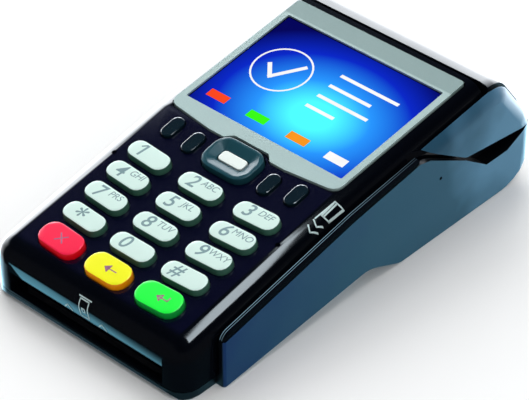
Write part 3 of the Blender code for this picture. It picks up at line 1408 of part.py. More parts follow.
def stepper_motor():
    """Paper feed motor inside the left plate, and its shaft through the plate."""
    right = -PLATE_X + GAP + MOTOR_LENGTH
    motor = prism("stepper_motor", ring_outline(MOTOR_RADIUS), -PLATE_X + GAP, right, "YZ", steel())
    motor.location = (0, PINION_Y, PINION_Z)
    shaft = prism("motor_shaft", ring_outline(MOTOR_SHAFT_RADIUS, SMALL_SIDES), GEAR_X - GEAR_WIDTH / 2,
                  -PLATE_X + OVERRUN, "YZ", parent=motor)
    combine(motor, shaft, "UNION")
    smooth(motor)
    return motor


def tear_bar():
    """Serrated steel strip at the rear edge of the display deck."""
    top = top_height(SEAM_Y) - TOP_WALL - GAP
    half = ROLL_WIDTH / 2 + SIDE_WALL
    count = round(2 * half / TEAR_TOOTH)
    rear = SEAM_Y + GAP
    line = [(-half, rear - TEAR_BAR_DEPTH)]
    for tooth in range(count):
        left = -half + 2 * half * tooth / count
        line += [(left, rear), (left + half / count, rear + TEAR_TOOTH / 2)]
    line += [(half, rear), (half, rear - TEAR_BAR_DEPTH)]
    return prism("tear_bar", list(reversed(line)), top - TEAR_BAR_THICKNESS, top, "XY", steel())


def paper_roll():
    """Roll of receipt paper with its bore."""
    roll = prism("paper_roll", ring_outline(PAPER_RADIUS, PAPER_SIDES), -ROLL_WIDTH / 2, ROLL_WIDTH / 2, "YZ",
                 material("paper", (0.85, 0.86, 0.84), 0.85))
    roll.location = (0, ROLL_Y, ROLL_HEIGHT)
    combine(roll, prism("roll_bore", ring_outline(CORE_RADIUS), -ROLL_WIDTH, ROLL_WIDTH, "YZ", parent=roll))
    smooth(roll)
    return roll


def paper_cradle():
    """Curved trough under the paper roll, with two end cheeks."""
    inner = PAPER_RADIUS + GAP
    outer = inner + CRADLE_WALL
    first = -pi / 2 - CRADLE_REACH
    arc = [first + 2 * CRADLE_REACH * step / CRADLE_STEPS for step in range(CRADLE_STEPS + 1)]
    line = [(inner * cos(angle), inner * sin(angle)) for angle in arc]
    line += [(outer * cos(angle), outer * sin(angle)) for angle in reversed(arc)]
    half = ROLL_WIDTH / 2 + CRADLE_SIDE_GAP
    trough = prism("paper_cradle", line, -half - CRADLE_WALL, half + CRADLE_WALL, "YZ", engineering_plastic())
    trough.location = (0, ROLL_Y, ROLL_HEIGHT)
    cheek = [(outer * cos(angle), outer * sin(angle)) for angle in arc]
    for side in (-1, 1):
        low, high = sorted((side * half, side * (half + CRADLE_WALL)))
        combine(trough, prism(f"cradle_cheek_{side}", cheek, low, high, "YZ", parent=trough), "UNION")
    return trough


def battery_pack():
    """Wrapped battery in the front of the bulge."""
    low = BASE + COVER_THICKNESS + 2 * GAP
    line = rounded_box(BATTERY_LENGTH, BATTERY_HEIGHT, BATTERY_CORNER)
    pack = prism("battery_pack", line, -BATTERY_WIDTH / 2, BATTERY_WIDTH / 2, "YZ",
                 material("battery_wrap", (0.10, 0.16, 0.30), 0.40))
    pack.location = (0, battery_middle(), low + BATTERY_HEIGHT / 2)
    smooth(pack)
    return pack


def battery_cover():
    """Cover in the underside, whose side flanges slide in grooves of the tub."""
    cover = prism("battery_cover", cover_outline(), BASE, BASE + COVER_THICKNESS, "XY", satin_black())
    cover.location = (0, battery_middle(), 0)
    flange = prism("cover_flange", cover_outline(COVER_FLANGE), BASE + COVER_STEP,
                   BASE + COVER_THICKNESS + GAP / 10, "XY")
    flange.parent = cover
    combine(cover, flange, "UNION")
    return cover


def speaker():
    """Loudspeaker on the slope of the arch."""
    y, z, tilt = speaker_frame()
    low = BOTTOM_WALL + GAP
    cone = prism("speaker", ring_outline(SPEAKER_RADIUS), low, low + SPEAKER_HEIGHT, "XY",
                 material("speaker_grey", (0.08, 0.08, 0.09), 0.5))
    cone.location = (0, y, z)
    cone.rotation_euler = (tilt, 0, 0)
    smooth(cone)
    return cone


def rubber_feet():
    """Rubber strips across the front foot and the heel."""
    for name, y in foot_places():
        foot = prism(name, foot_outline(), 0, BASE + FOOT_SUNK, "XY", dark_rubber())
        foot.location = (0, y, 0)


def charging_contacts():
    """Contact block for a charging cradle, its pads a little proud of its face."""
    top = BASE + CONTACT_THICKNESS
    block = prism("charging_contacts", contact_outline(), BASE + CONTACT_PROUD, top, "XY",
                  material("gold_contact", (0.83, 0.62, 0.22), 0.25, 1.0))
    block.location = (0, REAR - CONTACT_FORWARD, 0)
    first = -CONTACT_PITCH * (CONTACT_COUNT - 1) / 2
    reach = CONTACT_WIDTH / 2
    pads = [box("pad", (first + index * CONTACT_PITCH - reach, -CONTACT_LENGTH / 2, BASE),
                (first + index * CONTACT_PITCH + reach, CONTACT_LENGTH / 2, top - CONTACT_PROUD))
            for index in range(CONTACT_COUNT)]
    combine(block, joined("contact_pads", pads, parent=block), "UNION")


def housing_screws():
    """Four screws that hold the two housings together."""
    for index, (x, y) in enumerate(screw_places()):
        screw = prism(f"housing_screw_{index + 1}", ring_outline(SCREW_RADIUS, SMALL_SIDES), GAP,
                      SCREW_LENGTH, "XY", steel())
        screw.location = (x, y, floor_height(y))
        combine(screw, prism("head", ring_outline(SCREW_HEAD_RADIUS, SMALL_SIDES), 0, SCREW_HEAD_THICKNESS,
                             "XY", parent=screw), "UNION")


def finger_notch():
    """Wedge-shaped finger notch in the side panel, below the door's wing."""
    front, high = seam_line()[2][:2]
    rear, low = seam_line()[3][:2]
    floor_y = WING_Y + NOTCH_BACK
    line = [(front, high), (floor_y, NOTCH_HEIGHT), (floor_y + NOTCH_FLOOR_LENGTH, NOTCH_HEIGHT), (rear, low),
            (rear, high + OVERRUN), (front, high + OVERRUN)]
    return prism("finger_notch_cut", line, PANEL_OUTER - NOTCH_DEPTH, PANEL_OUTER + OVERRUN, "YZ")


def notch_liner():
    """The wall behind the finger notch, which stands into the tub's hollow."""
    front = seam_line()[2][0]
    rear = seam_line()[3][0] - 2 * NOTCH_WALL
    low = NOTCH_HEIGHT - NOTCH_WALL
    line = [(front, low), (rear, low), (rear, CREST_HEIGHT), (front, CREST_HEIGHT)]
    return prism("notch_liner", line, PANEL_OUTER - NOTCH_DEPTH - NOTCH_WALL, PANEL_OUTER, "YZ")


def hinge_knuckle(side):
    """Knuckle of the tub that holds one end of the hinge pin, with its neck down to the rear wall."""
    middle = side * HINGE_SPREAD / 2
    low = middle - HINGE_BARREL_LENGTH / 2
    high = middle + HINGE_BARREL_LENGTH / 2
    knuckle = prism(f"knuckle_{side}", ring_outline(HINGE_BARREL_RADIUS, SMALL_SIDES), low, high, "YZ")
    knuckle.location = (0, HINGE_Y, HINGE_HEIGHT)
    reach = HINGE_BARREL_RADIUS - GAP / 2
    wall_y = HINGE_INSET - SIDE_WALL + GAP
    neck = [(GAP - reach, -GAP), (-reach, -NECK_DEPTH / 2), (wall_y, -NECK_DEPTH),
            (wall_y + GAP, -NECK_DEPTH), (wall_y + GAP, -HINGE_EDGE_RADIUS - 2 * GAP), (reach / 2, -reach), (0, GAP)]
    combine(knuckle, prism(f"neck_{side}", neck, low, high, "YZ", parent=knuckle), "UNION")
    return knuckle


def door_slot(top):
    """Rear end of the swipe slot, cut through the door's crest above the slot's floor."""
    rear = REAR + OVERRUN
    front = WING_Y - OVERRUN
    line = [(front, split_height(front) + SLOT_FLOOR_RISE), (rear, split_height(rear) + SLOT_FLOOR_RISE),
            (rear, top + OVERRUN), (front, top + OVERRUN)]
    return prism("door_slot_cut", line, SLOT_INNER, SLOT_OUTER, "YZ")


def main():
    """Build every piece of the terminal."""
    clear_scene()
    keypad = empty("keypad_frame", (0, FOLD_Y, FOLD_HEIGHT), (KEYPAD_TILT, 0, 0))
    middle = Vector((0, PICTURE_FROM_FOLD * cos(DISPLAY_TILT), PICTURE_FROM_FOLD * sin(DISPLAY_TILT)))
    display = empty("display_frame", Vector((0, FOLD_Y, FOLD_HEIGHT)) + middle, (DISPLAY_TILT, 0, 0))
    hinge = empty("door_hinge", (0, HINGE_Y, HINGE_HEIGHT))
    bpy.context.view_layer.update()
    upper_housing(keypad, display)
    lower_housing()
    swipe_rail()
    paper_door(hinge)
    hinge_pin()
    display_bezel(display)
    display_window(display)
    lcd_module(display)
    keys(keypad)
    function_keys(keypad)
    navigation(keypad)
    keypad_mat(keypad)
    main_board(keypad)
    coin_cell(keypad)
    chip_reader()
    stripe_head()
    gear_train()
    platen_roller()
    printer_frame()
    print_head()
    stepper_motor()
    tear_bar()
    paper_roll()
    paper_cradle()
    battery_pack()
    battery_cover()
    speaker()
    rubber_feet()
    charging_contacts()
    housing_screws()
    for obj in bpy.data.objects:
        if obj.parent is None:
            obj.location.x += MIDDLE_X


main()
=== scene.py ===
"""Dresses the card payment terminal: finishes, key legends, lit screen, icons, studio and camera."""

import json
from math import cos, pi, radians, sin

import bmesh
import bpy
from bpy.props import FloatProperty, PointerProperty, StringProperty
from mathutils import Euler, Matrix, Vector
from mathutils.bvhtree import BVHTree


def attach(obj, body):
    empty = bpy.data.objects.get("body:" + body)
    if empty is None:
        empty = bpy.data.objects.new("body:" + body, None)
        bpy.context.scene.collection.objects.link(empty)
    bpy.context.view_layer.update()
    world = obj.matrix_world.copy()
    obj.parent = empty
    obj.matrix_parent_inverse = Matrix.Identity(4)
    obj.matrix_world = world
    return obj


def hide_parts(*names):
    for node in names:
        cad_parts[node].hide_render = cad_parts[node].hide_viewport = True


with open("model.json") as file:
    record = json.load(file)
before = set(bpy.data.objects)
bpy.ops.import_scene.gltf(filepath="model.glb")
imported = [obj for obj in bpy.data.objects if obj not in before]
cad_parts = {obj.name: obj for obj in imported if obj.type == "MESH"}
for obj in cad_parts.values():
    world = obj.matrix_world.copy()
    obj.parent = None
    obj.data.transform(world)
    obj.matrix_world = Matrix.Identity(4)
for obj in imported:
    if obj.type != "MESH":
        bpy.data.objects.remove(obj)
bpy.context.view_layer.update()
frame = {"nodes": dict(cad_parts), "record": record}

bl_info = {
    "name": "Card Payment Terminal",
    "version": (1, 0, 0),
    "blender": (4, 5, 0),
    "location": "3D View > Sidebar > Terminal",
    "description": "Builds the visible finish of a hand-held card payment terminal",
    "category": "Object",
}

MM = 0.001

# The fold between keypad and display, and the two tilted faces that meet there
MIDDLE_X = -1.5 * MM
FOLD = Vector((MIDDLE_X, -8.4 * MM, 30.5 * MM))
KEYPAD_TILT = radians(11.8)
DISPLAY_TILT = radians(8.1)
PICTURE_FROM_FOLD = 28.3 * MM
PICTURE_WIDTH = 57.5 * MM
PICTURE_HEIGHT = 43.1 * MM
KEYPAD = Matrix.Translation(FOLD) @ Matrix.Rotation(KEYPAD_TILT, 4, "X")
DISPLAY = (Matrix.Translation(FOLD) @ Matrix.Rotation(DISPLAY_TILT, 4, "X")
           @ Matrix.Translation((0, PICTURE_FROM_FOLD, 0)))

# Shells: corners nearer than this are welded, and faces that meet at a larger angle keep their edge
WELD = 0.001 * MM
SHARP = radians(32)

# Navy field round the keys: where it starts and is full, from the middle line and along the housing
FIELD_SIDE = {"From_Min": 30.6 * MM, "From_Max": 30.3 * MM}
FIELD_REAR = {"From_Min": -7.0 * MM, "From_Max": -7.6 * MM}
FIELD_FRONT = {"From_Min": -67.5 * MM, "From_Max": -65.5 * MM}

# Painted highlights along the swipe lip's two edges, as pale lines: place across and half width of each,
# and where they fade
SLOT_EDGE_GLINTS = ((35.95 * MM, 0.12 * MM), (36.62 * MM, 0.08 * MM))
SLOT_EDGE_GLINT_FADE = {"From_Min": 26 * MM, "From_Max": -20 * MM}
SLOT_EDGE_GLINT_COLOUR = "#7FA2B4"

# Satin shell: a painted reflection of a blue-grey room on its outer right-hand skin: where that skin
# starts, how the painted blue runs from nose to heel, and how that wanders
PAINTED_REFLECTION_SIDE = {"From_Min": 35.2 * MM, "From_Max": 35.6 * MM}
PAINTED_REFLECTION_LENGTH = {"From_Min": -35 * MM, "From_Max": 80 * MM}
PAINTED_REFLECTION_CLOUD = 50 * MM

# How far a face has turned, as its normal's part along an axis, where a colour starts and is full
FIELD_UPWARD = {"From_Min": 0.9, "From_Max": 0.96}
LIP_UPWARD = {"From_Min": 0.05, "From_Max": 0.15}
CAP_UPWARD = {"From_Min": 0.35, "From_Max": 0.75}
PAINTED_REFLECTION_SIDEWAYS = {"From_Min": 0.25, "From_Max": 0.6}

# Moulded plastic: its lightness wanders over this length, and its roughness over this many grains
TINT_PERIOD = 8 * MM
ROUGH_GRAINS = 30
# Painted shade on the sides of the white keys
MINT_SIDE_SHADE = "#3E6A5A"

# Bezel: the darker strip starts this far behind the picture's middle
STRIP_FROM_MIDDLE = 22.4 * MM
STRIP_SOFT = 0.2 * MM

# Picture's glow: its middle from the picture's, and how far it reaches
GLOW_MIDDLE = Vector((5.0, -6.5, 0)) * MM
GLOW_REACH = (42 * MM, 34 * MM, 1.0)
UNLIT = "#020308"

# Printing, and how it falls on a surface under it
PRINT_THICKNESS = 0.02 * MM
DRAPE_CUTS = 7
DRAPE_START = 10 * MM
DRAPE_LIFT = 3 * PRINT_THICKNESS

# Legends: each one's place is measured from its key's middle
LEGEND_SHEAR = 0.2
DIGIT_PLACE = (-2.9 * MM, 0.1 * MM)
DIGIT_BOLD = 0.06 * MM
LETTERS_PLACE = (2.5 * MM, 1.2 * MM)
STAR_PLACE = (-2.2 * MM, -0.8 * MM)
STAR_BOLD = 0.08 * MM
STAR_GROWTH = 1.3
FLAG_START = Vector((-0.2, -0.2)) * MM
FLAG_END = Vector((-1.3, -1.1)) * MM
FLAG_WIDTH = 0.5 * MM
MARK_LINE = 0.38 * MM

WHITE_KEYS = {
    "key_1": ("1", ""), "key_2": ("2", "ABC"), "key_3": ("3", "DEF"),
    "key_4": ("4", "GHI"), "key_5": ("5", "JKL"), "key_6": ("6", "MNO"),
    "key_7": ("7", "PRS"), "key_8": ("8", "TUV"), "key_9": ("9", "WXY"),
    "key_star": ("*", ""), "key_0": ("0", ""), "key_hash": ("#", ""),
}
FUNCTION_KEYS = ("function_key_1", "function_key_2", "function_key_3", "function_key_4")
STEEL_NODES = ("coin_cell", "stripe_head", "stripe_head_spring", "motor_pinion", "platen_shaft",
               "stepper_motor", "tear_bar", "hinge_pin", "housing_screw_1", "housing_screw_2",
               "housing_screw_3", "housing_screw_4")

# Marks and icons: lines of points, in millimetres
CROSS = (((-1.1, -1.3), (1.5, 1.3)), ((-1.1, 1.3), (1.5, -1.3)))
BACK_ARROW = (((3, 0), (-0.5, 0)), ((0.4, 1.1), (-1.0, 0), (0.4, -1.1), (0.4, 1.1)),
              ((0.2, 0.6), (0.2, -0.6)), ((-0.2, 0.3), (-0.2, -0.3)))
RETURN_ARROW = (((3, 1.3), (3, 0), (0, 0)), ((0.8, 1.0), (-0.6, 0), (0.8, -1.0), (0.8, 1.0)))
SWIPE_ICON = (((32.7, -0.45), (35.1, -0.2), (34.9, -6.0), (32.9, -6.25), (32.7, -0.45)),
              ((32.7, -0.45), (32.3, -8.1)), ((33.3, -0.6), (33.4, -6.2)),
              ((32.35, -8.8), (34.0, -9.8), (34.8, -8.4)), ((32.35, -11.1), (33.9, -12.3), (35.0, -10.7)))
INSERT_ICON = (((-1.6, 15.0), (1.6, 15.0), (1.6, 9.3), (-1.6, 9.3), (-1.6, 15.0)),
               ((-2.2, 15.5), (2.2, 15.5)),
               ((-0.5, 12.6), (0.5, 12.6), (0.5, 11.2), (-0.5, 11.2), (-0.5, 12.6)),
               ((-7.8, 8.8), (-6.4, 10.4), (-5.0, 8.8)), ((5.0, 8.8), (6.4, 10.4), (7.8, 8.8)))
INSERT_ICON_PLACE = (MIDDLE_X - 0.4 * MM, -70.5 * MM, 0)
INSERT_LINE_SHARE = 0.8

# Coloured keys: node, colour, the word in its finish and slot, the painted shade on its sides, its mark
MARKED_KEYS = (
    ("key_cancel", "cancel", "red", "#F00018", CROSS),
    ("key_clear", "clear", "yellow", "#FF9600", BACK_ARROW),
    ("key_enter", "enter", "green", "#0AA03C", RETURN_ARROW),
)

# The picture's motifs, in millimetres from its middle, and the widths of their lines
RING_MIDDLE = (-15, 3)
RING_RADIUS = 9
RING_STEPS = 40
RING_LINE = 0.55 * MM
TICK = ((-19.5, 3), (-16, -1), (-10, 7.5))
TICK_LINE = 1.3 * MM
ROW_START = 1
ROW_TOP = 11
ROW_PITCH = 5
ROW_LENGTHS = (20, 14, 17, 9)
ROW_LINE = 1.2 * MM
BLOCKS = (("screen_block_red", "#FF4A1E", -22), ("screen_block_green", "#3CFF14", -7),
          ("screen_block_orange", "#FF9A1E", 8), ("screen_block_white", "#FFFFFF", 22))
BLOCK_UP = -16
BLOCK_REACH = 2
BLOCK_LINE = 3 * MM

# Studio: each light's name, place and size in metres, and power in watts
LAMPS = (
    ("rear_left_box", (-0.7, 0.55, 0.8), (0.9, 0.9), 11.0),
    ("overhead_box", (0.0, 0.1, 1.2), (0.9, 0.9), 5.0),
    ("right_box", (0.9, -0.2, 0.5), (0.6, 0.8), 2.4),
)
LAMP_AIM = Vector((0, 0, 0.02))
GLINT_STRIP = ("edge_strip", (0.085, 0.032, 0.36), (0.24, 0.075), 0.62)
GLINT_COLOUR = (0.8, 0.92, 1.0)
FLOOR_REACH = 4.0

# Camera: place and nearest and farthest point seen in metres, turn in degrees, lens in millimetres
CAMERA_PLACE = (0.40308, -0.44659, 0.47076)
CAMERA_TURN = (52.52, -0.211, 42.392)
CAMERA_LENS = 183.743
SENSOR_WIDTH = 36.0
NEAREST_SEEN = 0.01
FARTHEST_SEEN = 20.0

# The mirrored room's linear colours, from straight down at 0 to straight up at 1
ROOM_TONES = (
    (0.0, (0.28, 0.75, 0.95, 1.0)), (0.14, (0.2, 0.6, 0.8, 1.0)), (0.3, (0.7, 0.76, 0.82, 1.0)),
    (0.5, (0.95, 0.97, 1.0, 1.0)), (0.72, (0.9, 0.95, 1.0, 1.0)), (0.81, (0.06, 0.07, 0.09, 1.0)),
    (0.86, (0.004, 0.005, 0.008, 1.0)), (1.0, (0.003, 0.004, 0.006, 1.0)),
)
SWEEP_WAY = (-0.72, 0.69, 0.0)
SWEEP_LIGHT = {"From_Min": 0.1, "From_Max": 0.8, "To_Min": 0.05, "To_Max": 9.5}
BELOW_LIGHT = {"From_Min": -0.72, "From_Max": -0.88, "To_Min": 0.0, "To_Max": 2.2}
EVEN_GREY = (0.35, 0.35, 0.355, 1.0)


class TerminalColours(bpy.types.PropertyGroup):
    """Colours of the terminal's finishes, as sRGB hex values."""
    housing: StringProperty(name="Housing", description="Polished top shell", default="#04060C")
    # Side panel, panel rear and panel front: a painted reflection of a blue-grey room on the satin shell's
    # right-hand skin, lighter at the heel and navy at the nose
    panel: StringProperty(name="Side panel", description="Satin lower shell and door", default="#1C4860")
    panel_reflection_rear: StringProperty(name="Panel rear", description="Lighter heel of the satin shell",
                                default="#4E7C9A")
    keypad: StringProperty(name="Keypad field", description="Duller navy field round the keys",
                           default="#03041C")
    panel_reflection_front: StringProperty(name="Panel front", description="Dark end of the satin shell",
                               default="#062A5C")
    bezel: StringProperty(name="Bezel", description="Silver paint round the screen", default="#98AEAC")
    bezel_strip: StringProperty(name="Bezel strip", description="Darker rear strip", default="#768C8A")
    key: StringProperty(name="White keys", description="Mint-white key plastic", default="#CFE8E0")
    cancel: StringProperty(name="Cancel key", description="Red key plastic", default="#F40A44")
    clear: StringProperty(name="Clear key", description="Yellow key plastic", default="#F0F000")
    enter: StringProperty(name="Enter key", description="Green key plastic", default="#00F43C")
    legend: StringProperty(name="Legends", description="Grey printing on the keys", default="#6E8C90")
    icon: StringProperty(name="Icons", description="Pale printing on the housing", default="#B9CFCF")
    teal: StringProperty(name="Navigation ring", description="Dark teal key plastic", default="#1A424C")
    screen_middle: StringProperty(name="Screen middle", description="Bright middle", default="#50FFFF")
    screen_body: StringProperty(name="Screen body", description="Blue round the middle", default="#2896FF")
    screen_edge: StringProperty(name="Screen edge", description="Deep blue", default="#0A28C8")
    screen_corner: StringProperty(name="Screen corner", description="Navy corners", default="#04045A")
    floor: StringProperty(name="Floor", description="Pale studio floor", default="#F4F5F5")


class TerminalSizes(bpy.types.PropertyGroup):
    """Sizes of the printing and the grain, and the strength of the picture."""
    digit: FloatProperty(name="Digit", description="Size of a key's digit", default=6.2 * MM,
                         unit="LENGTH")
    letters: FloatProperty(name="Letters", description="Size of a key's letters", default=2.9 * MM,
                           unit="LENGTH")
    line: FloatProperty(name="Line", description="Width of an icon's lines", default=0.42 * MM,
                        unit="LENGTH")
    grain: FloatProperty(name="Grain", description="Moulded grain of satin shells", default=0.35 * MM,
                         unit="LENGTH")
    screen_light: FloatProperty(name="Screen light", description="Strength of the picture", default=1.0,
                                min=0.0)


def colours():
    """The terminal's colours."""
    return bpy.context.scene.terminal_colours


def sizes():
    """The terminal's sizes."""
    return bpy.context.scene.terminal_sizes


def linear(code):
    """A linear RGBA colour from an sRGB hex value."""
    values = [int(code[index:index + 2], 16) / 255 for index in (1, 3, 5)]
    return tuple(v / 12.92 if v <= 0.04045 else ((v + 0.055) / 1.055) ** 2.4 for v in values) + (1.0,)


def add(tree, kind, settings=None, **inputs):
    """Add a node with its settings; an input is a value or another node's output socket.

    The setting "stops" fills a colour ramp from (position, colour) pairs. An input's name has
    underscores for spaces, or is an underscore and the socket's number.
    """
    node = tree.nodes.new(kind)
    settings = dict(settings or {})
    stops = settings.pop("stops", [])
    while stops and len(node.color_ramp.elements) < len(stops):
        node.color_ramp.elements.new(0.5)
    for index, (position, colour) in enumerate(stops):
        node.color_ramp.elements[index].position = position
        node.color_ramp.elements[index].color = colour
    for name, value in settings.items():
        setattr(node, name, value)
    for name, value in inputs.items():
        key = int(name[1:]) if name[0] == "_" else name.replace("_", " ")
        if isinstance(value, bpy.types.NodeSocket):
            tree.links.new(value, node.inputs[key])
        else:
            node.inputs[key].default_value = value
    return node


def surface(name, **constants):
    """A new material: its tree, its shader with constants set, and its object coordinates."""
    material = bpy.data.materials.new(name)
    material.use_nodes = True
    tree = material.node_tree
    shader = tree.nodes["Principled BSDF"]
    for key, value in constants.items():
        shader.inputs[key.replace("_", " ")].default_value = value
    place = add(tree, "ShaderNodeTexCoord").outputs["Object"]
    return material, tree, shader, place


def grained(tree, shader, place, period, height, rough):
    """Fine moulded grain as bump, and roughness that wanders slowly over its range.

    Real grain of these finishes is finer still; it is drawn as coarse as it needs to show.
    """
    fine = add(tree, "ShaderNodeTexNoise", Vector=place, Scale=1 / period, Detail=3.0)
    bump = add(tree, "ShaderNodeBump", Strength=1.0, Distance=height, Height=fine.outputs["Fac"])
    tree.links.new(bump.outputs["Normal"], shader.inputs["Normal"])
    slow = add(tree, "ShaderNodeTexNoise", Vector=place, Scale=1 / (ROUGH_GRAINS * period), Detail=2.0)
    wander = add(tree, "ShaderNodeMapRange", Value=slow.outputs["Fac"], To_Min=rough[0], To_Max=rough[1])
    tree.links.new(wander.outputs["Result"], shader.inputs["Roughness"])


def tinted(tree, shader, place, colour, spread, period):
    """Base colour that varies a little in lightness over the piece, as moulded plastic does."""
    noise = add(tree, "ShaderNodeTexNoise", Vector=place, Scale=1 / period, Detail=2.0)
    darker = tuple(channel * (1 - spread) for channel in colour[:3]) + (1.0,)
    lighter = tuple(min(channel * (1 + spread), 1.0) for channel in colour[:3]) + (1.0,)
    tone = add(tree, "ShaderNodeValToRGB", {"stops": [(0.3, darker), (0.7, lighter)]},
               Fac=noise.outputs["Fac"])
    tree.links.new(tone.outputs["Color"], shader.inputs["Base Color"])


def plastic(name, code, rough, grain=0.3 * MM, height=0.002 * MM, spread=0.05, **constants):
    """A plain surface with a tint, a grain and a roughness range, as moulded plastic has."""
    material, tree, shader, place = surface(name, IOR=1.5, **constants)
    tinted(tree, shader, place, linear(code), spread, TINT_PERIOD)
    grained(tree, shader, place, grain, height, rough)
    return material


def near(tree, coordinate, middle, **limits):
    """A mask by the distance of a coordinate from a middle, between two limits of that distance."""
    offset = add(tree, "ShaderNodeMath", {"operation": "SUBTRACT"}, _0=coordinate, _1=middle)
    distance = add(tree, "ShaderNodeMath", {"operation": "ABSOLUTE"}, _0=offset.outputs["Value"])
    return add(tree, "ShaderNodeMapRange", Value=distance.outputs["Value"], **limits).outputs["Result"]


def key_abs(name, cap, side_shade, rough):
    """Moulded ABS key with painted shade: its sides are drawn darker as they turn from facing up, so it
    stands out from its shadow.
    """
    material, tree, shader, place = surface(name, IOR=1.5)
    noise = add(tree, "ShaderNodeTexNoise", Vector=place, Scale=1 / TINT_PERIOD, Detail=2.0)
    light = add(tree, "ShaderNodeMapRange", Value=noise.outputs["Fac"], To_Min=0.96, To_Max=1.02)
    normal = add(tree, "ShaderNodeNewGeometry").outputs["Normal"]
    upward = add(tree, "ShaderNodeSeparateXYZ", Vector=normal).outputs["Z"]
    # Painted shade: from the top's colour to a darker one as the sides turn away from facing up
    above = add(tree, "ShaderNodeMapRange", Value=upward, **CAP_UPWARD)
    tone = add(tree, "ShaderNodeMix", {"data_type": "RGBA"}, _0=above.outputs["Result"],
               _6=linear(side_shade), _7=linear(cap))
    scaled = add(tree, "ShaderNodeVectorMath", {"operation": "SCALE"}, _0=tone.outputs[2],
                 Scale=light.outputs["Result"])
    tree.links.new(scaled.outputs["Vector"], shader.inputs["Base Color"])
    grained(tree, shader, place, 0.25 * MM, 0.003 * MM, rough)
    return material


def polished_abs():
    """Black ABS from a polished mould: a mirror-like skin with a faint orange peel and sharp highlights.

    The mould leaves the keypad field duller, and it is tinted navy, so it hardly mirrors the keys.
    Two thin pale lines along the lip of the swipe slot are painted highlights of its edges.
    """
    material, tree, shader, place = surface("polished_black_abs", IOR=1.5)
    axes = add(tree, "ShaderNodeSeparateXYZ", Vector=place).outputs
    normal = add(tree, "ShaderNodeNewGeometry").outputs["Normal"]
    upward = add(tree, "ShaderNodeSeparateXYZ", Vector=normal).outputs["Z"]

    field = near(tree, axes["X"], MIDDLE_X, **FIELD_SIDE)
    before = add(tree, "ShaderNodeMapRange", Value=axes["Y"], **FIELD_REAR)
    behind = add(tree, "ShaderNodeMapRange", Value=axes["Y"], **FIELD_FRONT)
    flat = add(tree, "ShaderNodeMapRange", Value=upward, **FIELD_UPWARD)
    for limit in (before, behind, flat):
        field = add(tree, "ShaderNodeMath", {"operation": "MULTIPLY"}, _0=field,
                    _1=limit.outputs["Result"]).outputs["Value"]
    body = add(tree, "ShaderNodeMix", {"data_type": "RGBA"}, _0=field, _6=linear(colours().housing),
               _7=linear(colours().keypad))

    # Painted highlights: two pale lines along the swipe lip's edges, fading towards the rear
    lines = [near(tree, axes["X"], across, From_Min=half, From_Max=half / 2)
             for across, half in SLOT_EDGE_GLINTS]
    edge_glint = add(tree, "ShaderNodeMath", {"operation": "MAXIMUM"}, _0=lines[0],
                 _1=lines[1]).outputs["Value"]
    along = add(tree, "ShaderNodeMapRange", Value=axes["Y"], **SLOT_EDGE_GLINT_FADE)
    facing = add(tree, "ShaderNodeMapRange", Value=upward, **LIP_UPWARD)
    for limit in (along, facing):
        edge_glint = add(tree, "ShaderNodeMath", {"operation": "MULTIPLY"}, _0=edge_glint,
                     _1=limit.outputs["Result"]).outputs["Value"]
    glinted = add(tree, "ShaderNodeMix", {"data_type": "RGBA"}, _0=edge_glint, _6=body.outputs[2],
               _7=linear(SLOT_EDGE_GLINT_COLOUR))
    tree.links.new(glinted.outputs[2], shader.inputs["Base Color"])

    peel = add(tree, "ShaderNodeTexNoise", Vector=place, Scale=1 / (1.2 * MM), Detail=3.0)
    bump = add(tree, "ShaderNodeBump", Strength=1.0, Distance=0.0012 * MM, Height=peel.outputs["Fac"])
    tree.links.new(bump.outputs["Normal"], shader.inputs["Normal"])
    slow = add(tree, "ShaderNodeTexNoise", Vector=place, Scale=1 / (30 * MM), Detail=2.0)
    gloss = add(tree, "ShaderNodeMapRange", Value=slow.outputs["Fac"], To_Min=0.07, To_Max=0.13)
    rough = add(tree, "ShaderNodeMapRange", Value=field, To_Min=gloss.outputs["Result"], To_Max=0.17)
    tree.links.new(rough.outputs["Result"], shader.inputs["Roughness"])
    return material


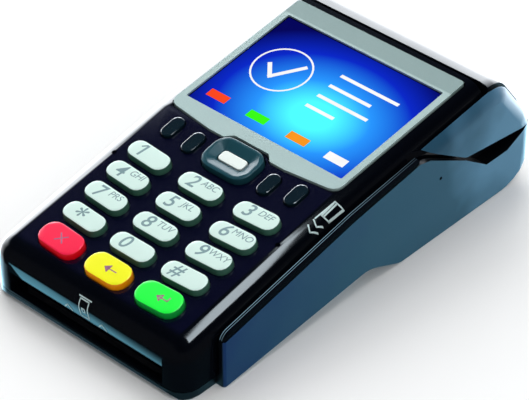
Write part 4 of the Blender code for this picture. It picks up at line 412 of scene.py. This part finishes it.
def satin_abs_with_painted_reflection():
    """Black ABS from a spark-eroded mould: its grain spreads highlights. On its right it carries a painted
    reflection, a blue-grey that is navy towards the nose.

    Only the outer right-hand skin, where faces turn to the right, carries the painted blue; slot walls,
    notch and door crest stay black.
    """
    material, tree, shader, place = surface("satin_black_abs_painted_blue_reflection", IOR=1.5)
    axes = add(tree, "ShaderNodeSeparateXYZ", Vector=place).outputs
    cloud = add(tree, "ShaderNodeTexNoise", Vector=place, Scale=1 / (16 * MM), Detail=2.0)
    shift = add(tree, "ShaderNodeMath", {"operation": "MULTIPLY_ADD"}, _0=cloud.outputs["Fac"],
                _1=PAINTED_REFLECTION_CLOUD, _2=axes["Y"])
    depth = add(tree, "ShaderNodeMapRange", Value=shift.outputs["Value"], **PAINTED_REFLECTION_LENGTH)
    # Painted reflection: blue-grey from a navy nose to a lighter heel, wandering in clouds
    body = add(tree, "ShaderNodeValToRGB", {"stops": [
        (0.0, linear(colours().panel_reflection_front)), (0.5, linear(colours().panel)),
        (0.8, linear(colours().panel)), (1.0, linear(colours().panel_reflection_rear))]},
        Fac=depth.outputs["Result"]).outputs["Color"]
    # Only faces turned to the right on the right-hand skin take the painted blue; the rest keeps the
    # housing's black
    normal = add(tree, "ShaderNodeNewGeometry").outputs["Normal"]
    sideways = add(tree, "ShaderNodeSeparateXYZ", Vector=normal).outputs["X"]
    side = add(tree, "ShaderNodeMapRange", Value=sideways, **PAINTED_REFLECTION_SIDEWAYS)
    outer = add(tree, "ShaderNodeMapRange", Value=axes["X"], **PAINTED_REFLECTION_SIDE)
    skin = add(tree, "ShaderNodeMath", {"operation": "MULTIPLY"}, _0=side.outputs["Result"],
               _1=outer.outputs["Result"])
    mixed = add(tree, "ShaderNodeMix", {"data_type": "RGBA"}, _0=skin.outputs["Value"],
                _6=linear(colours().housing), _7=body)
    tree.links.new(mixed.outputs[2], shader.inputs["Base Color"])
    grained(tree, shader, place, sizes().grain, 0.004 * MM, (0.26, 0.36))
    return material


def silver_paint():
    """Sprayed silver lacquer: its flake gives a soft, even glow. Its rear strip is sprayed darker.

    Real flake is far finer; it is drawn as coarse as it needs to show.
    """
    material, tree, shader, place = surface("silver_lacquer", Metallic=0.1, IOR=1.5)
    along = add(tree, "ShaderNodeSeparateXYZ", Vector=place).outputs["Y"]
    edge = DISPLAY @ Vector((0, STRIP_FROM_MIDDLE, 0))
    split = add(tree, "ShaderNodeMapRange", Value=along, From_Min=edge.y - STRIP_SOFT,
                From_Max=edge.y + STRIP_SOFT)
    tone = add(tree, "ShaderNodeValToRGB", {"stops": [
        (0.0, linear(colours().bezel)), (1.0, linear(colours().bezel_strip))]},
        Fac=split.outputs["Result"]).outputs["Color"]
    flake = add(tree, "ShaderNodeTexVoronoi", Vector=place, Scale=1 / (0.25 * MM))
    light = add(tree, "ShaderNodeMapRange", Value=flake.outputs["Distance"], To_Min=0.93, To_Max=1.05)
    scaled = add(tree, "ShaderNodeVectorMath", {"operation": "SCALE"}, _0=tone,
                 Scale=light.outputs["Result"])
    tree.links.new(scaled.outputs["Vector"], shader.inputs["Base Color"])
    grained(tree, shader, place, 0.25 * MM, 0.001 * MM, (0.34, 0.42))
    return material


def acrylic():
    """Clear cast acrylic, hard-coated: no tint of its own, and a clean sheen over the screen."""
    material, tree, shader, place = surface("clear_acrylic", IOR=1.49, Transmission_Weight=1.0)
    shader.inputs["Base Color"].default_value = (1.0, 1.0, 1.0, 1.0)
    grained(tree, shader, place, 4 * MM, 0.0002 * MM, (0.0, 0.02))
    return material


def steel():
    """Ground steel: fine lines along the shafts, from side to side, that streak its highlights."""
    material, tree, shader, place = surface("ground_steel", Metallic=1.0)
    lines = add(tree, "ShaderNodeMapping", Vector=place, Scale=(1.0, 12.0, 12.0)).outputs["Vector"]
    tinted(tree, shader, lines, linear("#B9BDC0"), 0.08, 3 * MM)
    grained(tree, shader, lines, 1.2 * MM, 0.001 * MM, (0.22, 0.34))
    return material


def gold_plate():
    """Electroplated gold: warm, bright pads, a little hazy."""
    material, tree, shader, place = surface("gold_plate", Metallic=1.0)
    tinted(tree, shader, place, linear("#E0B65A"), 0.06, 1 * MM)
    grained(tree, shader, place, 0.4 * MM, 0.001 * MM, (0.2, 0.32))
    return material


def lit_picture():
    """Lit picture: a bright patch right of the middle that falls off to navy corners."""
    material, tree, shader, place = surface("lit_display", Roughness=0.3, Specular_IOR_Level=0.0)
    local = add(tree, "ShaderNodeMapping", {"vector_type": "TEXTURE"}, Vector=place,
                Location=DISPLAY @ GLOW_MIDDLE, Rotation=(DISPLAY_TILT, 0, 0),
                Scale=GLOW_REACH).outputs["Vector"]
    flat = add(tree, "ShaderNodeVectorMath", {"operation": "MULTIPLY"}, _0=local, _1=(1.0, 1.0, 0.0))
    away = add(tree, "ShaderNodeVectorMath", {"operation": "LENGTH"}, _0=flat.outputs["Vector"])
    glow = add(tree, "ShaderNodeValToRGB", {"stops": [
        (0.0, linear(colours().screen_middle)), (0.16, linear(colours().screen_middle)),
        (0.42, linear(colours().screen_body)), (0.72, linear(colours().screen_edge)),
        (1.0, linear(colours().screen_corner))]}, Fac=away.outputs["Value"])
    tree.links.new(glow.outputs["Color"], shader.inputs["Emission Color"])
    shader.inputs["Base Color"].default_value = linear(UNLIT)
    shader.inputs["Emission Strength"].default_value = sizes().screen_light
    return material


def lit_ink(name, code):
    """A lit colour of the picture's motifs: almost even, with no sheen, so it belongs to the screen."""
    material, tree, shader, place = surface(name, Roughness=0.4, Specular_IOR_Level=0.0)
    tone = add(tree, "ShaderNodeTexNoise", Vector=place, Scale=1 / (3 * MM))
    base = linear(code)
    dimmer = tuple(channel * 0.94 for channel in base[:3]) + (1.0,)
    glow = add(tree, "ShaderNodeValToRGB", {"stops": [(0.3, dimmer), (0.7, base)]},
               Fac=tone.outputs["Fac"])
    tree.links.new(glow.outputs["Color"], shader.inputs["Emission Color"])
    shader.inputs["Base Color"].default_value = linear(UNLIT)
    shader.inputs["Emission Strength"].default_value = sizes().screen_light
    return material


def dress(node, material):
    """Give a CAD node's object another material."""
    for held in frame["nodes"][node].material_slots:
        held.material = material


def piece(name, mesh, material, body):
    """A finished piece with its place in its mesh, riding on a body."""
    obj = bpy.data.objects.new(name, mesh)
    bpy.context.scene.collection.objects.link(obj)
    mesh.materials.clear()
    mesh.materials.append(material)
    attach(obj, body)
    return obj


def body_of(node):
    """The body that holds a node."""
    bodies = frame["record"]["behaviour"]["bodies"]
    return next(name for name, nodes in bodies.items() if node in nodes)


def shell(node, material):
    """A CAD node's form with its triangles welded and its round faces shaded smooth."""
    shape = bmesh.new()
    shape.from_mesh(frame["nodes"][node].data)
    bmesh.ops.remove_doubles(shape, verts=shape.verts, dist=WELD)
    mesh = bpy.data.meshes.new(node + "_finish")
    shape.to_mesh(mesh)
    shape.free()
    weigh_normals(mesh)
    obj = piece(node + "_finish", mesh, material, body_of(node))
    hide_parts(node)


def weigh_normals(mesh):
    """Shade round faces smooth, each corner's normal weighted by the areas of the faces that meet there.

    The housing's faces are cut into long thin triangles round its openings, which would else tilt the
    mirrored room on broad, flat faces.
    """
    mesh.shade_smooth()
    meeting = [[] for _ in mesh.vertices]
    for face in mesh.polygons:
        for index in face.vertices:
            meeting[index].append(face)
    limit = cos(SHARP)
    normals = []
    for face in mesh.polygons:
        for index in face.vertices:
            total = Vector()
            for other in meeting[index]:
                if other.normal.dot(face.normal) > limit:
                    total += other.normal * other.area
            normals.append(total.normalized() if total.length else face.normal)
    mesh.normals_split_custom_set(normals)


def face_box(node, face):
    """Lowest and highest corner of a node, measured along a tilted face."""
    back = face.inverted()
    points = [back @ vert.co for vert in frame["nodes"][node].data.vertices]
    low = Vector([min(point[axis] for point in points) for axis in range(3)])
    high = Vector([max(point[axis] for point in points) for axis in range(3)])
    return low, high


def on_key(node):
    """The tilted place on top of a key's middle, where its printing lies."""
    low, high = face_box(node, KEYPAD)
    middle = (low + high) / 2
    return KEYPAD @ Matrix.Translation((middle.x, middle.y, high.z + PRINT_THICKNESS / 2))


def lettering(text, size, bold=0.0):
    """A mesh of a short text about its middle, lying flat, with a print's thickness."""
    curve = bpy.data.curves.new("lettering", "FONT")
    curve.body = text
    curve.size = size
    curve.shear = LEGEND_SHEAR
    curve.offset = bold
    curve.align_x = "CENTER"
    curve.align_y = "CENTER"
    curve.extrude = PRINT_THICKNESS / 2
    holder = bpy.data.objects.new("lettering", curve)
    bpy.context.scene.collection.objects.link(holder)
    graph = bpy.context.evaluated_depsgraph_get()
    mesh = bpy.data.meshes.new_from_object(holder.evaluated_get(graph))
    bpy.data.objects.remove(holder)
    return mesh


def add_flag(mesh):
    """Add the short flag that a printed figure one has at its top left."""
    top = max((vert.co for vert in mesh.vertices), key=lambda co: co.y).to_2d()
    shape = bmesh.new()
    shape.from_mesh(mesh)
    bar(shape, top + FLAG_START, top + FLAG_END, FLAG_WIDTH)
    shape.to_mesh(mesh)
    shape.free()


def bar(shape, start, end, width):
    """Add a flat print bar between two points to a bmesh."""
    start = Vector(start).to_2d()
    end = Vector(end).to_2d()
    run = end - start
    turn = Matrix.Rotation(run.angle_signed(Vector((1, 0))) if run.length else 0, 4, "Z")
    middle = (start + end) / 2
    grow = Matrix.Diagonal((run.length + width, width, PRINT_THICKNESS, 1))
    bmesh.ops.create_cube(shape, size=1, matrix=Matrix.Translation((*middle, 0)) @ turn @ grow)


def strokes(lines, width):
    """A bmesh of print bars along lines, whose points are in millimetres."""
    shape = bmesh.new()
    for points in lines:
        for start, end in zip(points, points[1:]):
            bar(shape, Vector(start) * MM, Vector(end) * MM, width)
    return shape


def printed(name, shape, face, material, body, drape=None):
    """Place flat printing on a tilted face, or let it fall on a surface below the face."""
    mesh = bpy.data.meshes.new(name)
    if drape is None:
        bmesh.ops.transform(shape, matrix=face, verts=shape.verts)
    else:
        tree, down = drape
        bmesh.ops.subdivide_edges(shape, edges=shape.edges, cuts=DRAPE_CUTS, use_grid_fill=True)
        for vert in shape.verts:
            lift = vert.co.z
            start = face @ Vector((vert.co.x, vert.co.y, 0))
            hit, normal, _, _ = tree.ray_cast(start - down * DRAPE_START, down)
            if hit is None:
                raise RuntimeError(f"{name} misses the surface it is printed on")
            vert.co = hit + normal * (lift + DRAPE_LIFT)
    shape.to_mesh(mesh)
    shape.free()
    piece(name, mesh, material, body)


class TERMINAL_OT_housing(bpy.types.Operator):
    """Polished top shell, swipe lip, card throat, satin lower shell, door and battery cover"""
    bl_idname = "terminal.housing"
    bl_label = "Housing"

    def execute(self, context):
        gloss = polished_abs()
        satin = satin_abs_with_painted_reflection()
        for node in ("upper_housing", "swipe_rail", "slot_throat"):
            shell(node, gloss)
        for node in ("lower_housing", "paper_door", "battery_cover"):
            shell(node, satin)
        return {"FINISHED"}


class TERMINAL_OT_display(bpy.types.Operator):
    """Silver bezel, clear pane and the lit picture with its motifs"""
    bl_idname = "terminal.display"
    bl_label = "Display"

    def execute(self, context):
        shell("display_bezel", silver_paint())
        shell("display_window", acrylic())
        # Polished glass over a black mask: a dark sheet with a clean sheen
        dress("lcd_module", plastic("black_display_glass", "#05070C", rough=(0.1, 0.2)))
        height = face_box("display_window", DISPLAY)[1].z + PRINT_THICKNESS
        sheet = bmesh.new()
        half = (PICTURE_WIDTH - PICTURE_HEIGHT) / 2
        bar(sheet, (-half, 0), (half, 0), PICTURE_HEIGHT)
        self.show("lit_picture", sheet, lit_picture(), height)
        height += PRINT_THICKNESS
        white = lit_ink("lit_white", "#FFFFFF")
        turns = [2 * pi * step / RING_STEPS for step in range(RING_STEPS)]
        ring = [(RING_MIDDLE[0] + RING_RADIUS * cos(turn), RING_MIDDLE[1] + RING_RADIUS * sin(turn))
                for turn in turns]
        self.show("screen_ring", strokes([ring + ring[:1]], RING_LINE), white, height)
        self.show("screen_tick", strokes([TICK], TICK_LINE), white, height)
        rows = [((ROW_START, ROW_TOP - ROW_PITCH * row), (ROW_START + length, ROW_TOP - ROW_PITCH * row))
                for row, length in enumerate(ROW_LENGTHS)]
        self.show("screen_rows", strokes(rows, ROW_LINE), white, height)
        for name, code, across in BLOCKS:
            ends = ((across - BLOCK_REACH, BLOCK_UP), (across + BLOCK_REACH, BLOCK_UP))
            self.show(name, strokes([ends], BLOCK_LINE), lit_ink(name, code), height)
        return {"FINISHED"}

    def show(self, name, shape, material, height):
        """Lay a lit shape over the pane, at a height above the display's face."""
        face = DISPLAY @ Matrix.Translation((0, 0, height))
        printed(name, shape, face, material, "housing")


class TERMINAL_OT_keys(bpy.types.Operator):
    """Twelve white keys, three coloured keys and their legends"""
    bl_idname = "terminal.keys"
    bl_label = "Keys"

    def execute(self, context):
        white = key_abs("mint_key_abs", colours().key, MINT_SIDE_SHADE, rough=(0.3, 0.42))
        # Pad-printed grey ink, cured matt: the legends read evenly from every side
        ink = plastic("grey_key_print", colours().legend, rough=(0.45, 0.55))
        for node, (digit, letters) in WHITE_KEYS.items():
            shell(node, white)
            if digit == "*":
                figure = lettering(digit, sizes().digit * STAR_GROWTH, STAR_BOLD)
                self.legend(node, "digit", figure, STAR_PLACE, ink)
            else:
                figure = lettering(digit, sizes().digit, DIGIT_BOLD)
                if digit == "1":
                    add_flag(figure)
                self.legend(node, "digit", figure, DIGIT_PLACE, ink)
            if letters:
                self.legend(node, "letters", lettering(letters, sizes().letters), LETTERS_PLACE, ink)
        # Pad-printed mauve ink, cured matt as well: it darkens each coloured cap only a little
        mark = plastic("mauve_key_print", "#96607E", rough=(0.45, 0.55))
        for node, colour, word, side_shade, lines in MARKED_KEYS:
            cap = key_abs(word + "_key_abs", getattr(colours(), colour), side_shade, rough=(0.28, 0.4))
            shell(node, cap)
            printed(node + "_mark", strokes(lines, MARK_LINE), on_key(node), mark, body_of(node))
        return {"FINISHED"}

    def legend(self, node, role, mesh, place, ink):
        """Lay a text's mesh on a key, at its place from the key's middle."""
        mesh.transform(on_key(node) @ Matrix.Translation((*place, 0)))
        piece(f"{node}_{role}", mesh, ink, body_of(node))


class TERMINAL_OT_navigation(bpy.types.Operator):
    """Dark function keys, the rocking ring and its select key"""
    bl_idname = "terminal.navigation"
    bl_label = "Navigation"

    def execute(self, context):
        # Moulded ABS under clear lacquer: almost black, with pale crescents where it mirrors the room
        dark = plastic("dark_key_abs", "#0B1C24", rough=(0.08, 0.14), grain=0.25 * MM,
                       height=0.001 * MM, Coat_Weight=1.0, Coat_Roughness=0.05)
        for node in FUNCTION_KEYS:
            shell(node, dark)
        # Moulded ABS with a fine texture: a deep, even teal with little sheen
        teal = plastic("teal_key_abs", colours().teal, rough=(0.24, 0.34), grain=0.4 * MM,
                       height=0.001 * MM, spread=0.1, Specular_IOR_Level=0.2)
        shell("nav_ring", teal)
        # Moulded ABS in plain white: a bright, softly lit middle for the ring
        white = plastic("select_key_abs", "#E4EFEA", rough=(0.3, 0.4), grain=0.25 * MM, spread=0.02)
        shell("nav_select", white)
        return {"FINISHED"}


class TERMINAL_OT_icons(bpy.types.Operator):
    """Printed card icons beside the swipe slot and over the card mouth"""
    bl_idname = "terminal.icons"
    bl_label = "Icons"

    def execute(self, context):
        # Pad-printed ink on the polished skin: thin pale lines, duller than what they lie on
        ink = plastic("pale_housing_print", colours().icon, rough=(0.4, 0.5))
        shape = bmesh.new()
        shape.from_mesh(bpy.data.objects["upper_housing_finish"].data)
        skin = BVHTree.FromBMesh(shape)
        shape.free()
        line = sizes().line
        down = KEYPAD.to_3x3() @ Vector((0, 0, -1))
        printed("swipe_icon", strokes(SWIPE_ICON, line), KEYPAD, ink, "housing",
                (skin, down))
        front = Matrix.Rotation(pi / 2, 4, "X")
        front.translation = INSERT_ICON_PLACE
        inward = Vector((0, 1, 0))
        printed("insert_icon", strokes(INSERT_ICON, line * INSERT_LINE_SHARE), front, ink, "housing",
                (skin, inward))
        return {"FINISHED"}


class TERMINAL_OT_inner(bpy.types.Operator):
    """Finishes of the printer, reader, board, battery and fittings"""
    bl_idname = "terminal.inner"
    bl_label = "Inner pieces"

    def execute(self, context):
        metal = steel()
        for node in STEEL_NODES:
            dress(node, metal)
        # Moulded glass-filled nylon: fibres under its skin leave a dull, faintly mottled grey
        nylon = plastic("glass_filled_nylon", "#5F6063", rough=(0.45, 0.6), grain=0.4 * MM,
                        height=0.006 * MM)
        for node in ("nav_boss", "chip_reader", "printer_frame", "paper_cradle", "speaker"):
            dress(node, nylon)
        # Compression-moulded nitrile rubber: a matt, almost black skin without highlights
        rubber = plastic("nitrile_rubber", "#1B1C1E", rough=(0.65, 0.85), grain=0.5 * MM,
                         height=0.008 * MM, spread=0.1)
        for node in ("keypad_mat", "rubber_foot_front", "rubber_foot_rear"):
            dress(node, rubber)
        shell("platen_roller", rubber)
        # Moulded natural acetal: a creamy white with a waxy sheen
        acetal = plastic("acetal_gears", "#DDD9CB", rough=(0.35, 0.45))
        for node in ("drive_gear", "platen_gear"):
            dress(node, acetal)
        # Solder mask, coated on and cured: a half-gloss green of uneven depth
        mask = plastic("green_solder_mask", "#17663F", rough=(0.25, 0.4), grain=0.8 * MM,
                       height=0.003 * MM, spread=0.15)
        dress("main_board", mask)
        # Fired and lapped alumina: a smooth, pale stone grey
        alumina = plastic("alumina_head", "#A39F97", rough=(0.3, 0.45), grain=0.2 * MM,
                          height=0.001 * MM)
        dress("print_head", alumina)
        # Coated and rolled thermal paper: a matt, bright white with a fine tooth
        paper = plastic("thermal_paper", "#F0F0EA", rough=(0.8, 0.95), grain=0.15 * MM,
                        height=0.004 * MM, spread=0.02)
        shell("paper_roll", paper)
        # Shrunk polyester film: a smooth dull blue with soft highlights
        shell("battery_pack", plastic("battery_film", "#2D4668", rough=(0.25, 0.4)))
        dress("charging_contacts", gold_plate())
        return {"FINISHED"}


def studio_room():
    """Room that the gloss mirrors: a white sweep behind and to the left, and darkness elsewhere.

    From straight below comes a blue glow. What isn't mirrored is lit by an even, soft grey.
    """
    world = bpy.data.worlds.new("studio")
    world.use_nodes = True
    tree = world.node_tree
    way = add(tree, "ShaderNodeTexCoord").outputs["Generated"]
    height = add(tree, "ShaderNodeSeparateXYZ", Vector=way).outputs["Z"]
    rise = add(tree, "ShaderNodeMapRange", Value=height, From_Min=-1.0, From_Max=1.0)
    tone = add(tree, "ShaderNodeValToRGB", {"stops": ROOM_TONES}, Fac=rise.outputs["Result"])
    toward = add(tree, "ShaderNodeVectorMath", {"operation": "DOT_PRODUCT"}, _0=way, _1=SWEEP_WAY)
    sweep = add(tree, "ShaderNodeMapRange", Value=toward.outputs["Value"], **SWEEP_LIGHT)
    below = add(tree, "ShaderNodeMapRange", Value=height, **BELOW_LIGHT)
    share = add(tree, "ShaderNodeMath", {"operation": "MAXIMUM"}, _0=sweep.outputs["Result"],
                _1=below.outputs["Result"])
    room = add(tree, "ShaderNodeVectorMath", {"operation": "SCALE"}, _0=tone.outputs["Color"],
               Scale=share.outputs["Value"])
    mirrored = add(tree, "ShaderNodeLightPath").outputs["Is Glossy Ray"]
    seen = add(tree, "ShaderNodeMix", {"data_type": "RGBA"}, _0=mirrored, _6=EVEN_GREY,
               _7=room.outputs["Vector"])
    tree.links.new(seen.outputs[2], tree.nodes["Background"].inputs["Color"])
    return world


class TERMINAL_OT_stage(bpy.types.Operator):
    """Pale floor, soft studio lights and the camera at the photograph's angle"""
    bl_idname = "terminal.stage"
    bl_label = "Stage"

    def execute(self, context):
        scene = context.scene
        mesh = bpy.data.meshes.new("floor")
        shape = bmesh.new()
        bmesh.ops.create_grid(shape, x_segments=1, y_segments=1, size=FLOOR_REACH)
        shape.to_mesh(mesh)
        shape.free()
        floor = bpy.data.objects.new("floor", mesh)
        # Rolled studio paper: a matt, even ground with no sheen and no tooth that could show
        paper = plastic("pale_paper_floor", colours().floor, rough=(0.85, 0.95), grain=60 * MM,
                        height=0.0, spread=0.0, Specular_IOR_Level=0.0)
        mesh.materials.append(paper)
        scene.collection.objects.link(floor)
        floor.visible_glossy = False
        scene.view_settings.view_transform = "Standard"
        scene.world = studio_room()
        for name, place, size, power in LAMPS:
            self.lamp(name, place, size, power)
        self.glint_strip(*GLINT_STRIP)
        eye = bpy.data.cameras.new("camera")
        eye.sensor_fit = "HORIZONTAL"
        eye.sensor_width = SENSOR_WIDTH
        eye.lens = CAMERA_LENS
        eye.clip_start = NEAREST_SEEN
        eye.clip_end = FARTHEST_SEEN
        camera = bpy.data.objects.new("camera", eye)
        camera.location = CAMERA_PLACE
        camera.rotation_euler = Euler([radians(angle) for angle in CAMERA_TURN])
        scene.collection.objects.link(camera)
        scene.camera = camera
        return {"FINISHED"}

    def box(self, name, place, size, power):
        """A rectangular light that shines straight down."""
        light = bpy.data.lights.new(name, "AREA")
        light.shape = "RECTANGLE"
        light.size, light.size_y = size
        light.energy = power
        obj = bpy.data.objects.new(name, light)
        obj.location = place
        bpy.context.scene.collection.objects.link(obj)
        return obj

    def lamp(self, name, place, size, power):
        """A soft rectangular light that faces the terminal and isn't mirrored in it."""
        obj = self.box(name, place, size, power)
        aim = LAMP_AIM - Vector(place)
        obj.rotation_euler = aim.to_track_quat("-Z", "Y").to_euler()
        obj.visible_glossy = False

    def glint_strip(self, name, place, size, power):
        """A small strip over the keypad's right edge that is only mirrored, as a long highlight."""
        obj = self.box(name, place, size, power)
        obj.data.color = GLINT_COLOUR
        obj.visible_diffuse = False
        obj.visible_camera = False


OPERATORS = (TERMINAL_OT_stage, TERMINAL_OT_housing, TERMINAL_OT_display, TERMINAL_OT_keys,
             TERMINAL_OT_navigation, TERMINAL_OT_icons, TERMINAL_OT_inner)


class TERMINAL_PT_panel(bpy.types.Panel):
    """Lists the terminal's steps, colours and sizes"""
    bl_idname = "TERMINAL_PT_panel"
    bl_label = "Card Payment Terminal"
    bl_space_type = "VIEW_3D"
    bl_region_type = "UI"
    bl_category = "Terminal"

    def draw(self, context):
        for operator in OPERATORS:
            self.layout.operator(operator.bl_idname)
        for group in (context.scene.terminal_colours, context.scene.terminal_sizes):
            for name in type(group).__annotations__:
                self.layout.prop(group, name)


CLASSES = (TerminalColours, TerminalSizes) + OPERATORS + (TERMINAL_PT_panel,)


def register():
    for cls in CLASSES:
        bpy.utils.register_class(cls)
    bpy.types.Scene.terminal_colours = PointerProperty(type=TerminalColours)
    bpy.types.Scene.terminal_sizes = PointerProperty(type=TerminalSizes)


def unregister():
    del bpy.types.Scene.terminal_sizes
    del bpy.types.Scene.terminal_colours
    for cls in reversed(CLASSES):
        bpy.utils.unregister_class(cls)


def main():
    """Register the classes and build every piece."""
    register()
    bpy.ops.terminal.stage()
    bpy.ops.terminal.housing()
    bpy.ops.terminal.display()
    bpy.ops.terminal.keys()
    bpy.ops.terminal.navigation()
    bpy.ops.terminal.icons()
    bpy.ops.terminal.inner()


if __name__ == "__main__":
    main()
